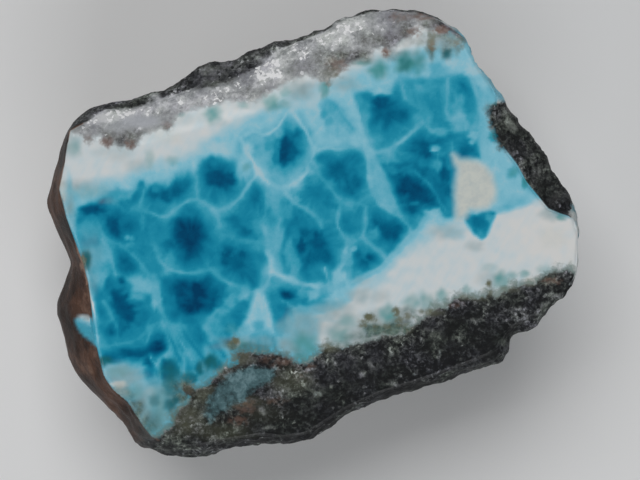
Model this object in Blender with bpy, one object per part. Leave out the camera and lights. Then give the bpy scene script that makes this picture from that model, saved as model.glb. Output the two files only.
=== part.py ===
"""A palm-sized piece of rough larimar: one natural stone with one face cut flat and polished.

The stone is a vein of blue and white pectolite between two walls of dark basalt, broken out of the rock
and left rough all round. Only the top has been cut and polished. Towards the far side the polish rolls
down over the basalt, on the right a corner of the basalt wall has broken away below the polish, and on
the left a small knob of blue stone stands beside the polished edge.

Units are metres, +Z is up. The origin is the middle of the stone's footprint, on the surface it rests on.
The polished face is level, looks up, and has the long side of the stone along X.
"""

import math

import bmesh
import bpy
import numpy as np
from mathutils import Vector, noise

MM = 0.001

# Driving sizes, in millimetres
THICKNESS = 40.0
STATIONS = 144  # places round the stone
EYE_HEIGHT = 450.0  # the outline was read from this far above the polished face
OUTLINE_SHIFT = np.array([0.0, -0.2])  # puts the middle of the stone's box on the origin

# Rings of the form, from the middle of the polished face to the middle of the underside
FACE_INSETS = (26.0, 15.0, 9.5, 7.2, 5.2, 3.4, 1.6, 0.0)  # millimetres in from the polished edge
UPPER_RINGS = 7  # from the polished edge down to the widest outline
LOWER_RINGS = 11  # from there down to the foot
BASE_SHARES = (0.94, 0.86, 0.75, 0.61, 0.44, 0.24)  # of the foot's radius

# The small bevel where the polish ends
EDGE_OUT = 0.35
EDGE_DOWN = 0.55
LEAST_FLANK_OUT = 0.15  # the widest outline stays this far outside the polished edge
LEAST_FLANK_DOWN = 0.8  # and this far below the bevel

# The polish rolls down towards the far side: by ROLL_DROP at the edge, over the last ROLL_WIDTH
ROLL_DROP = 2.5
ROLL_WIDTH = 9.0
ROLL_FROM = (44.0, 72.0)  # degrees round the stone, where the roll starts and is full
ROLL_TO = (149.0, 158.0)  # where it is last full, and ends

# How deep below the face the stone is widest, by degrees round the stone
WIDEST = ((-15, 1.2), (8, 2.6), (18, 4.6), (34, 4.2), (43, 1.8), (60, 4.2), (90, 5.5), (120, 7.5), (150, 8.0),
          (165, 11.0), (195, 13.0), (228, 12.0), (245, 8.5), (275, 8.0), (315, 7.0), (333, 3.5))
# How far the foot stands in from the widest outline, by degrees round the stone
FOOT_INSET = ((0, 8.0), (45, 10.5), (90, 7.0), (130, 9.5), (180, 8.5), (225, 11.0), (270, 7.5), (320, 10.0))
FOOT_HEIGHT = 4.5
FLANK_FULLNESS = 0.7  # 1 makes the lower sides a quarter ellipse, and less makes them fuller

# The rock is rough from ROUGH_BELOW under the widest outline, and wholly so ROUGH_OVER further down
ROUGH_BELOW = 1.5
ROUGH_OVER = 9.0

# Small steps in the weathered left side, where the fibres of the vein break
LEDGE_DEPTH = 0.55
LEDGE_COUNT = 3.0
LEDGE_FROM = (160.0, 174.0)  # degrees round the stone, where the steps start and are full
LEDGE_TO = (224.0, 238.0)  # where they are last full, and end

# Long flat breaks that trim the rough sides
BREAKS = 40
BREAK_TURN = 137.508  # degrees round the stone from each to the next
BREAK_CUT = (0.6, 4.0)  # how deep each goes
BREAK_TILT = (-58.0, -2.0)  # degrees up from the horizon that each looks

# Small chips, each a flat that fades out at its border
CHIPS = 80
CHIP_REACH = (6.0, 15.0)
CHIP_FADE = 0.7  # the share of its reach over which a chip is cut in full
CHIP_DEPTH = (0.3, 1.4)
CHIP_MOST = 2.2  # no chip takes more than this off the surface
CHIP_LEAN = 0.2  # how far a chip's plane may lean from the surface it is cut in
CHIP_HEIGHT = (1.5, 4.5)  # no chip below the first height, and in full above the second

SEED = 11  # for the breaks and chips

# Lumps of the rough rock: (height, width across)
LUMPS = ((2.4, 19.0), (1.4, 8.5), (0.7, 4.2))
BROAD_LUMP = 13.0  # only lumps wider than this reach the underside

# Wear on the rough sides: how far it moves a point towards its neighbours' mean
WEAR = 0.55

# The knob of blue stone beside the left of the polished edge
KNOB_AT = np.array([-45.3, -18.3])
KNOB_BELOW_FACE = 2.9
KNOB_RADIUS = 2.5

# The flat the stone rests on, where this much of the underside is worn off
WORN_DEPTH = 2.8

# Finish of the rough sides and of the polished face
BASALT = ((0.045, 0.047, 0.046), 0.85)
POLISHED = ((0.03, 0.28, 0.42), 0.15)
POLISH_REACH = 3.5  # the polish ends this far below the face
POLISH_SLOPE = 0.85  # and takes in what faces up at least this much
SHARP_ANGLE = 32.0

# Edge of the polish, in the face, clockwise from the left
RIM = (
    (-50.0, 9.0), (-49.0, 14.0), (-48.4, 18.0), (-47.8, 20.8), (-46.0, 21.8), (-43.6, 23.0), (-42.0, 24.4),
    (-39.6, 25.2), (-35.4, 25.0), (-33.0, 25.8), (-30.0, 27.0), (-26.0, 28.0), (-22.0, 29.2), (-18.0, 30.2),
    (-14.0, 31.2), (-10.4, 32.8), (-7.6, 34.4), (-6.6, 36.2), (-4.0, 37.6), (-1.4, 38.8), (3.2, 40.6),
    (6.2, 42.6), (8.4, 43.3), (13.2, 44.6), (19.0, 44.6), (25.2, 43.2), (28.4, 41.2), (31.0, 39.0),
    (31.8, 37.0), (33.4, 33.8), (36.2, 29.8), (37.4, 27.4), (36.9, 23.0), (37.6, 19.8), (39.0, 17.0),
    (41.2, 14.2), (43.2, 10.6), (45.6, 7.6), (47.6, 5.2), (50.0, 4.2), (52.6, 3.4), (53.6, 0.0), (53.4, -4.0),
    (53.2, -7.0), (52.4, -9.0), (50.0, -11.4), (45.2, -15.8), (42.8, -17.4), (40.0, -18.6), (38.6, -20.2),
    (38.0, -22.2), (36.4, -23.6), (33.2, -25.0), (24.0, -28.4), (14.0, -31.6), (7.0, -34.8), (3.0, -37.4),
    (-0.8, -39.8), (-5.0, -40.4), (-10.0, -40.0), (-17.6, -41.2), (-22.0, -42.2), (-26.0, -42.4),
    (-29.0, -41.6), (-31.6, -40.2), (-33.4, -38.0), (-36.4, -33.2), (-39.0, -31.2), (-41.0, -28.4),
    (-41.8, -25.4), (-42.6, -22.0), (-43.2, -18.0), (-43.6, -14.0), (-44.2, -9.6), (-45.2, -5.8),
    (-46.2, -3.0), (-48.6, 3.6),
)

# Widest outline of the stone as the eye above sees it, clockwise from the left
OUTLINE = (
    (-52.6, 6.4), (-50.0, 16.0), (-48.8, 19.8), (-46.0, 24.2), (-41.6, 26.2), (-35.2, 27.4), (-31.4, 28.4),
    (-28.0, 29.8), (-24.4, 32.2), (-19.6, 34.3), (-15.8, 35.3), (-11.6, 37.0), (-6.0, 38.8), (0.0, 40.1),
    (3.0, 41.1), (6.2, 43.1), (10.0, 44.0), (13.2, 45.1), (19.2, 45.0), (25.4, 43.5), (28.6, 41.4),
    (31.2, 39.2), (32.0, 37.0), (33.6, 33.8), (36.6, 29.4), (38.6, 27.8), (40.4, 24.6), (42.6, 21.2),
    (44.0, 20.0), (46.2, 16.8), (49.4, 11.2), (52.2, 7.8), (53.2, 3.6), (53.7, -3.0), (53.5, -8.4),
    (51.4, -11.2), (46.8, -16.0), (44.6, -18.4), (41.4, -19.5), (40.0, -21.6), (39.8, -23.2), (37.4, -25.4),
    (31.0, -27.5), (22.8, -30.4), (14.4, -32.9), (8.4, -34.9), (4.6, -38.0), (0.4, -40.6), (-6.0, -41.8),
    (-13.0, -41.8), (-18.4, -43.3), (-23.6, -44.4), (-31.6, -42.9), (-35.4, -41.0), (-36.4, -39.0),
    (-39.6, -35.2), (-44.6, -30.2), (-47.6, -26.0), (-49.8, -18.4), (-50.6, -13.8), (-48.2, -7.0),
    (-48.0, -4.8), (-51.8, 3.8),
)


def clear_scene():
    for item in list(bpy.data.objects):
        bpy.data.objects.remove(item, do_unlink=True)


def smooth_step(value, low, high):
    """0 up to low, 1 from high on, and smooth between them."""
    t = np.clip((value - low) / (high - low), 0.0, 1.0)
    return t * t * (3.0 - 2.0 * t)


def closed_curve(corners, steps=12):
    """A smooth closed Catmull-Rom line through the corners, placed on the stone."""
    here = np.array(corners, float)
    before, after, beyond = np.roll(here, 1, 0), np.roll(here, -1, 0), np.roll(here, -2, 0)
    pieces = []
    for t in np.arange(steps) / steps:
        slope = (after - before) * t
        bend = (2 * before - 5 * here + 4 * after - beyond) * t**2
        twist = (3 * here - before - 3 * after + beyond) * t**3
        pieces.append(0.5 * (2 * here + slope + bend + twist))
    return np.stack(pieces, 1).reshape(-1, 2) + OUTLINE_SHIFT


def round_angle(points):
    """Degrees round the stone, from +X towards +Y."""
    return np.degrees(np.arctan2(points[..., 1], points[..., 0])) % 360.0


def radius_at(curve, angles):
    """How far from the origin the closed curve is, in each of these directions."""
    turned = round_angle(curve)
    order = np.argsort(turned)
    return np.interp(angles, turned[order], np.hypot(*curve.T)[order], period=360.0)


def table_at(table, angles):
    """A value given at some angles, read between them."""
    places, values = np.array(table, float).T
    order = np.argsort(places % 360.0)
    return np.interp(angles, (places % 360.0)[order], values[order], period=360.0)


def stations():
    """Angles of the places round the stone, evenly spaced along its outline."""
    curve = closed_curve(OUTLINE)
    closed = np.vstack([curve, curve[:1]])
    walked = np.concatenate([[0.0], np.cumsum(np.hypot(*np.diff(closed, axis=0).T))])
    wanted = walked[-1] * np.arange(STATIONS) / STATIONS
    x = np.interp(wanted, walked, closed[:, 0])
    y = np.interp(wanted, walked, closed[:, 1])
    return np.sort(round_angle(np.stack([x, y], 1)))


def share_between(angles, start, end):
    """How fully something that is only on a stretch of the stone's edge is there, at each angle."""
    return smooth_step(angles, *start) * (1.0 - smooth_step(angles, *end))


def face_rings(rim, drop):
    """The polished face, from its middle out to its edge."""
    for inset in FACE_INSETS:
        rolled = np.clip(1.0 - inset / ROLL_WIDTH, 0.0, 1.0) ** 2
        yield rim - inset, THICKNESS - drop * rolled


def upper_rings(edge, widest, edge_height, widest_height, angles):
    """The sides from the polished edge down to the widest outline, with the ledges on the left."""
    ledged = LEDGE_DEPTH * share_between(angles, LEDGE_FROM, LEDGE_TO)
    yield edge, edge_height
    for ring in range(1, UPPER_RINGS + 1):
        down = ring / UPPER_RINGS
        step = ledged * np.sin(2 * math.pi * LEDGE_COUNT * down + np.radians(3 * angles))
        radius = edge + (widest - edge) * math.sin(0.5 * math.pi * down)
        height = edge_height + (widest_height - edge_height) * down
        yield radius - np.maximum(step, 0.0) * (1.0 - down), height


def lower_rings(widest, foot, widest_height):
    """The sides from the widest outline down to the foot, then the underside in to its middle."""
    for ring in range(1, LOWER_RINGS + 1):
        down = ring / LOWER_RINGS
        fullness = max(0.0, math.cos(0.5 * math.pi * down)) ** FLANK_FULLNESS
        yield foot + (widest - foot) * fullness, widest_height + (FOOT_HEIGHT - widest_height) * down
    for share in BASE_SHARES:
        rounded = foot * share + foot.mean() * (1.0 - share)
        height = FOOT_HEIGHT * share**6 - WORN_DEPTH * (1.0 - share**4)
        yield share * rounded, np.full_like(foot, height)


def sections(angles):
    """The rings of the form, from the top: for each, its radius and height at every station."""
    rim = radius_at(closed_curve(RIM), angles)
    drop = ROLL_DROP * share_between(angles, ROLL_FROM, ROLL_TO)
    edge_height = THICKNESS - drop - EDGE_DOWN
    depth = np.maximum(table_at(WIDEST, angles), drop + EDGE_DOWN + LEAST_FLANK_DOWN)
    seen = radius_at(closed_curve(OUTLINE), angles)
    widest = np.maximum(seen * (1.0 + depth / EYE_HEIGHT), rim + LEAST_FLANK_OUT)
    edge = np.minimum(rim + EDGE_OUT, widest)
    foot = widest - table_at(FOOT_INSET, angles)
    yield from face_rings(rim, drop)
    yield from upper_rings(edge, widest, edge_height, THICKNESS - depth, angles)
    yield from lower_rings(widest, foot, THICKNESS - depth)


def laid_out(angles):
    """Every ring's points, as an array of ring, station and x, y, z, and how freely each may be reshaped."""
    points, free = [], []
    turned = np.radians(angles)
    rough_from = table_at(WIDEST, angles) + ROUGH_BELOW
    for radius, height in sections(angles):
        points.append(np.stack([radius * np.cos(turned), radius * np.sin(turned), height], 1))
        free.append(smooth_step(THICKNESS - height, rough_from, rough_from + ROUGH_OVER))
    return np.array(points), np.array(free)


def broken(points, free, draw):
    """Long flat breaks: what stands out past each one's plane is brought back to it."""
    middle = np.array([0.0, 0.0, 0.5 * THICKNESS])
    for turn in np.arange(BREAKS) * BREAK_TURN:
        tilt = math.radians(draw.uniform(*BREAK_TILT))
        way = math.radians(turn + draw.uniform(-12.0, 12.0))
        normal = np.array([math.cos(tilt) * math.cos(way), math.cos(tilt) * math.sin(way), math.sin(tilt)])
        reach = (points - middle) @ normal
        limit = reach.max() - draw.uniform(*BREAK_CUT)
        past = np.maximum(reach - limit, 0.0) * free
        points = points - past[..., None] * normal
    return points


def outward(points):
    """The way out of the stone at every point of the rings."""
    round_it = np.roll(points, -2, 1) - np.roll(points, 2, 1)
    down = np.gradient(points, axis=0)
    out = np.cross(down, round_it)
    return out / np.maximum(np.linalg.norm(out, axis=-1, keepdims=True), 1e-9)


def chipped(points, free, draw):
    """Small chips: a flat cut into the surface round one of its points, fading out at its border."""
    facing = outward(points)
    side = free * smooth_step(points[..., 2], *CHIP_HEIGHT)
    rough = np.argwhere(side > 0.3)
    for ring, station in rough[draw.choice(len(rough), CHIPS, replace=False)]:
        normal = facing[ring, station] + draw.normal(0.0, CHIP_LEAN, 3)
        normal /= np.linalg.norm(normal)
        away = points - points[ring, station]
        reach = draw.uniform(*CHIP_REACH)
        inside = 1.0 - smooth_step(np.linalg.norm(away, axis=-1), reach * CHIP_FADE, reach)
        past = np.clip(away @ normal + draw.uniform(*CHIP_DEPTH), 0.0, CHIP_MOST) * side * inside
        points = points - past[..., None] * normal
    return points


def lumpy(points, free):
    """Uneven rock: each point of the rough sides moves in or out from the middle."""
    moved = points.copy()
    for place in np.argwhere(free > 0.0):
        here = Vector(points[tuple(place)])
        out = Vector((here.x, here.y, here.z - 0.5 * THICKNESS)).normalized()
        fine = min(1.0, max(0.0, here.z / FOOT_HEIGHT))
        rise = 0.0
        for height, width in LUMPS:
            share = 1.0 if width > BROAD_LUMP else fine
            rise += share * height * noise.noise(here / width + Vector((width, 0.0, 5.0)))
        moved[tuple(place)] = here + out * rise * free[tuple(place)]
    return moved


def weathered(points, free):
    """Worn a little: each rough point moves towards the mean of its four neighbours."""
    worn = points.copy()
    inner = points[1:-1]
    mean = 0.25 * (points[:-2] + points[2:] + np.roll(inner, 1, 1) + np.roll(inner, -1, 1))
    worn[1:-1] += WEAR * free[1:-1, :, None] * (mean - inner)
    return worn


def swell_knob(points):
    """The knob: what lies inside a small ball beside the edge is pushed out to the ball's surface."""
    centre = np.array([*(KNOB_AT + OUTLINE_SHIFT), THICKNESS - KNOB_BELOW_FACE])
    away = points - centre
    length = np.maximum(np.linalg.norm(away, axis=-1, keepdims=True), 1e-6)
    below_bevel = points[..., 2:3] < THICKNESS - 0.5 * EDGE_DOWN
    return np.where((length < KNOB_RADIUS) & below_bevel, centre + away / length * KNOB_RADIUS, points)


def stone_points():
    """The finished rings, in millimetres."""
    draw = np.random.default_rng(SEED)
    points, free = laid_out(stations())
    points = broken(points, free, draw)
    points = lumpy(points, free)
    points = chipped(points, free, draw)
    points = weathered(points, free)
    points = swell_knob(points)
    points[..., 2] = np.maximum(points[..., 2], 0.0)
    return points


def material(name, finish):
    colour, roughness = finish
    made = bpy.data.materials.new(name)
    made.use_nodes = True
    shader = made.node_tree.nodes["Principled BSDF"]
    shader.inputs["Base Color"].default_value = (*colour, 1.0)
    shader.inputs["Roughness"].default_value = roughness
    shader.inputs["Metallic"].default_value = 0.0
    return made


def build_stone():
    """A sphere whose rings are laid along the stone's, with a pole in the middle of the top and bottom."""
    rings = stone_points()
    ring_count = len(rings)
    shape = bmesh.new()
    bmesh.ops.create_uvsphere(shape, u_segments=STATIONS, v_segments=ring_count + 1, radius=1.0)
    for corner in shape.verts:
        band = round(math.acos(max(-1.0, min(1.0, corner.co.z))) / math.pi * (ring_count + 1)) - 1
        station = round(math.atan2(corner.co.y, corner.co.x) / (2 * math.pi) * STATIONS) % STATIONS
        if band < 0:
            corner.co = Vector((0.0, 0.0, THICKNESS * MM))
        elif band >= ring_count:
            corner.co = Vector((0.0, 0.0, 0.0))
        else:
            corner.co = Vector(rings[band, station]) * MM
    bmesh.ops.recalc_face_normals(shape, faces=shape.faces)
    mesh = bpy.data.meshes.new("larimar_stone")
    shape.to_mesh(mesh)
    shape.free()
    mesh.materials.append(material("rough_basalt", BASALT))
    mesh.materials.append(material("polished_larimar", POLISHED))
    for face in mesh.polygons:
        polished = face.normal.z > POLISH_SLOPE and face.center.z > (THICKNESS - POLISH_REACH) * MM
        face.material_index = 1 if polished else 0
    mesh.shade_smooth()
    mesh.set_sharp_from_angle(angle=math.radians(SHARP_ANGLE))
    stone = bpy.data.objects.new("larimar_stone", mesh)
    collection = bpy.data.collections.new("rough_larimar")
    bpy.context.scene.collection.children.link(collection)
    collection.objects.link(stone)


clear_scene()
build_stone()
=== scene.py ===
"""The looks of a piece of rough larimar: a broken stone with one face cut flat and polished.

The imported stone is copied, given an even fine grid, chipped and pitted where it is broken rock, and its
polished face is marked with the blue cells, the white veins and bands, and the basalt round them.
"""

import bpy
import numpy as np
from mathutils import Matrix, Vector, noise


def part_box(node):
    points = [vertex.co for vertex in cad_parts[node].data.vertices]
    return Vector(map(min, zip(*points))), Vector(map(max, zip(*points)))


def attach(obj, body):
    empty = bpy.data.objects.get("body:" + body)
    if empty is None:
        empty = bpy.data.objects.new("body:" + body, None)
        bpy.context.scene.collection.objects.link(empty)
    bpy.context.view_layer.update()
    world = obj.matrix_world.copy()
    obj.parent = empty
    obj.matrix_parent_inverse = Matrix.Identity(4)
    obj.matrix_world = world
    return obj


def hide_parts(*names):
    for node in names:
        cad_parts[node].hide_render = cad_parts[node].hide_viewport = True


MM = 0.001

# The stone, in millimetres
FACE_HEIGHT = 40.0
ROLL_DROP = 2.5  # how far the polish rolls down at the far side
ROLL_WIDTH = 9.0
ROLL_FROM = (44.0, 72.0)  # degrees round the stone, where the roll starts and is full
ROLL_TO = (149.0, 158.0)  # where it is last full, and ends
MERGE = 0.002  # loose corners this close together are one corner
GRID = 0.74  # width of the even grid laid over the stone
FINE_MARGIN = 0.9  # how far outside the polish its finer grid goes
FINE_DEPTH = 1.1  # and how far below it
EDGE_ROUNDING = 0.45  # how far in from its edge the polish starts to round off
EDGE_FALL = 0.3  # and how far it falls there
POLISH_DEPTH = 0.9  # how far below the face a corner may lie and still be in the polish
OFF_POLISH = -3.0  # how far inside the polish all the other corners are said to be

# The broken rock: how far inside the polish it is fully rough and not yet rough, how much calmer the left
# side is, from these places on to the left and up, and how near to the knob the rock is left as it is
ROUGH_TO = (-0.9, -0.1)
LEFT_CALM = 0.75
LEFT_FROM = (32.0, 44.0)
LEFT_HEIGHT = (12.0, 24.0)
KNOB = np.array([-45.3, -18.5, 37.1])
KNOB_CALM = (2.64, 4.62)
WEIGHT_STEPS = 20  # the steps in which roughness is set

# Relief of the broken rock: name, kind, width, strength
RELIEF = (("lumps", "CLOUDS", 7.0, 1.3), ("chips", "VORONOI", 3.6, 1.2), ("grain", "CLOUDS", 1.5, 0.55))

# Marks are placed in points of a frame 640 wide and 480 high, right and down from its top left corner
POINTS_PER_MM = 5.0
EYE = np.array([2.0, -1.2, 490.0])  # the eye, in millimetres
EYE_POINT = np.array([320.0, 240.0])  # and the point of the frame under it

LENS = 126.56
SENSOR = 36.0

# Soft lamps: name, place, size, power, colour
LAMPS = (
    ("window", (-0.25, 1.05, 1.8), (1.7, 1.2), 24.5, (1.0, 0.99, 0.98)),
    ("right_fill", (0.25, -1.2, 0.9), (1.1, 1.1), 8.8, (0.98, 0.99, 1.0)),
    ("left_fill", (-0.9, -0.4, 0.6), (0.6, 0.6), 2.0, (1.0, 0.98, 0.95)),
)
LAMPS_LOOK_AT = (0.0, 0.0, 0.03)
ROOM_COLOUR = (0.03, 0.031, 0.032)
FLOOR_SIZE, FLOOR_COLOUR, FLOOR_ROUGHNESS = 6.0, (0.81, 0.82, 0.83), 0.7

# Edge of the polish
RIM = (
    (60, 189), (65, 165), (68, 145), (71, 131), (80, 126), (92, 120), (100, 113), (112, 109),
    (133, 110), (145, 106), (160, 100), (180, 95), (200, 89), (220, 84), (240, 79), (258, 71),
    (272, 63), (277, 54), (290, 47), (303, 41), (326, 32), (341, 22), (352, 18), (376, 12), (405, 12),
    (436, 19), (452, 29), (465, 40), (469, 50), (477, 66), (491, 86), (497, 98), (494, 120), (498, 136),
    (505, 150), (516, 164), (526, 182), (538, 197), (548, 209), (560, 214), (573, 218), (578, 235),
    (577, 255), (576, 270), (572, 280), (560, 292), (536, 314), (524, 322), (510, 328), (503, 336),
    (500, 346), (492, 353), (476, 360), (430, 377), (380, 393), (345, 409), (325, 422), (306, 434),
    (285, 437), (260, 435), (222, 441), (200, 446), (180, 447), (165, 443), (152, 436), (143, 425),
    (128, 401), (115, 391), (105, 377), (101, 362), (97, 345), (94, 325), (92, 305), (89, 283),
    (84, 264), (79, 250), (67, 217),
)

# The basalt in the cut face: the wall on the far side, and the wall on the near side
FAR_WALL = (
    (62, 133), (70, 131), (78, 134), (85, 139), (88, 144), (92, 138), (100, 135), (104, 143),
    (108, 147), (113, 143), (120, 149), (126, 145), (131, 150), (137, 146), (139, 139), (145, 134),
    (155, 131), (163, 129), (168, 132), (172, 127), (176, 118), (182, 113), (190, 110), (200, 107),
    (220, 104), (225, 101), (240, 101), (255, 100), (262, 97), (268, 92), (276, 88), (285, 83),
    (295, 80), (306, 75), (318, 80), (327, 84), (332, 76), (338, 72), (345, 67), (355, 62), (362, 58),
    (370, 55), (375, 50), (383, 49), (388, 54), (392, 52), (398, 45), (403, 40), (410, 38), (415, 34),
    (418, 29), (424, 28), (430, 30), (436, 30), (442, 33), (449, 32), (456, 36), (470, 42), (480, 20),
    (420, -10), (200, 20), (60, 80),
)
NEAR_WALL = (
    (152, 445), (156, 438), (163, 434), (170, 428), (175, 421), (176, 413), (183, 408), (190, 403),
    (191, 397), (185, 395), (181, 390), (184, 385), (191, 386), (196, 390), (203, 388), (209, 384),
    (213, 380), (220, 376), (225, 369), (233, 366), (239, 361), (238, 354), (243, 352), (256, 354),
    (264, 354), (272, 354), (280, 355), (286, 358), (292, 363), (299, 365), (308, 364), (313, 361),
    (318, 355), (322, 349), (329, 347), (337, 348), (345, 348), (352, 345), (360, 343), (370, 340),
    (378, 339), (382, 336), (389, 337), (395, 336), (401, 336), (407, 333), (411, 328), (417, 324),
    (421, 319), (428, 315), (434, 311), (438, 308), (446, 309), (449, 303), (455, 300), (462, 299),
    (475, 299), (485, 297), (490, 293), (497, 299), (502, 293), (509, 290), (514, 287), (523, 286),
    (533, 284), (537, 282), (542, 278), (549, 274), (555, 273), (563, 271), (568, 269), (570, 272),
    (575, 275), (590, 276), (590, 340), (500, 400), (350, 450), (200, 480), (150, 460),
)

# The basalt where the right corner broke off
CORNER_WALL = (
    (487, 112), (490, 106), (496, 103), (504, 103), (510, 150), (499, 150), (494, 136), (489, 124),
)

# How light each mark is, from the darkest blue at 0 to white at 1
GROUND_TONE = 0.45

# Broad areas: tone, softness of the edge, corners
AREAS = (
    (0.84, 7, (
        (50, 170), (60, 208), (84, 206), (98, 200), (104, 195), (116, 196), (131, 196), (136, 188),
        (142, 182), (148, 187), (154, 184), (163, 183), (169, 184), (175, 176), (187, 172), (196, 174),
        (203, 160), (214, 156), (229, 161), (238, 158), (240, 140), (247, 134), (258, 133), (270, 131),
        (281, 122), (290, 110), (300, 114), (313, 138), (316, 148), (330, 148), (347, 147), (356, 150),
        (368, 147), (364, 132), (360, 116), (352, 92), (372, 92), (392, 88), (400, 78), (412, 80),
        (430, 78), (447, 76), (462, 74), (470, 78), (478, 90), (484, 120), (486, 150), (500, 160),
        (560, 190), (560, 60), (300, 0), (40, 110))),
    (0.97, 9, (
        (50, 120), (50, 192), (66, 190), (78, 188), (88, 185), (100, 181), (117, 179), (130, 175),
        (141, 170), (155, 165), (170, 162), (185, 157), (197, 150), (205, 143), (220, 133), (235, 124),
        (250, 116), (265, 110), (280, 101), (292, 93), (302, 90), (316, 86), (338, 82), (352, 74),
        (372, 64), (400, 55), (425, 48), (440, 40), (460, 20), (440, 5), (300, 20), (150, 80))),
    (0.82, 8, (
        (478, 108), (498, 100), (510, 150), (535, 190), (545, 204), (528, 203), (513, 206), (500, 211),
        (480, 214), (470, 212), (474, 160), (480, 130))),
    (0.76, 5, (
        (268, 340), (276, 322), (286, 308), (300, 300), (320, 294), (335, 288), (350, 284), (362, 278),
        (376, 280), (366, 300), (350, 330), (330, 356), (300, 368), (270, 366))),
    (0.97, 6, (
        (322, 356), (316, 338), (318, 322), (326, 312), (340, 306), (350, 297), (352, 288), (362, 279),
        (373, 273), (383, 264), (392, 256), (400, 247), (410, 237), (420, 227), (425, 219), (432, 214),
        (440, 216), (450, 220), (458, 214), (478, 212), (500, 211), (515, 207), (528, 202), (540, 200),
        (548, 207), (556, 214), (590, 214), (590, 290), (500, 310), (400, 345))),
    (0.72, 7, (
        (98, 350), (106, 364), (128, 363), (150, 364), (164, 350), (170, 334), (184, 327), (206, 326),
        (214, 316), (230, 326), (242, 334), (258, 337), (275, 334), (272, 362), (240, 364), (225, 375),
        (190, 405), (175, 428), (150, 445), (120, 402), (98, 372))),
)

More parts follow.
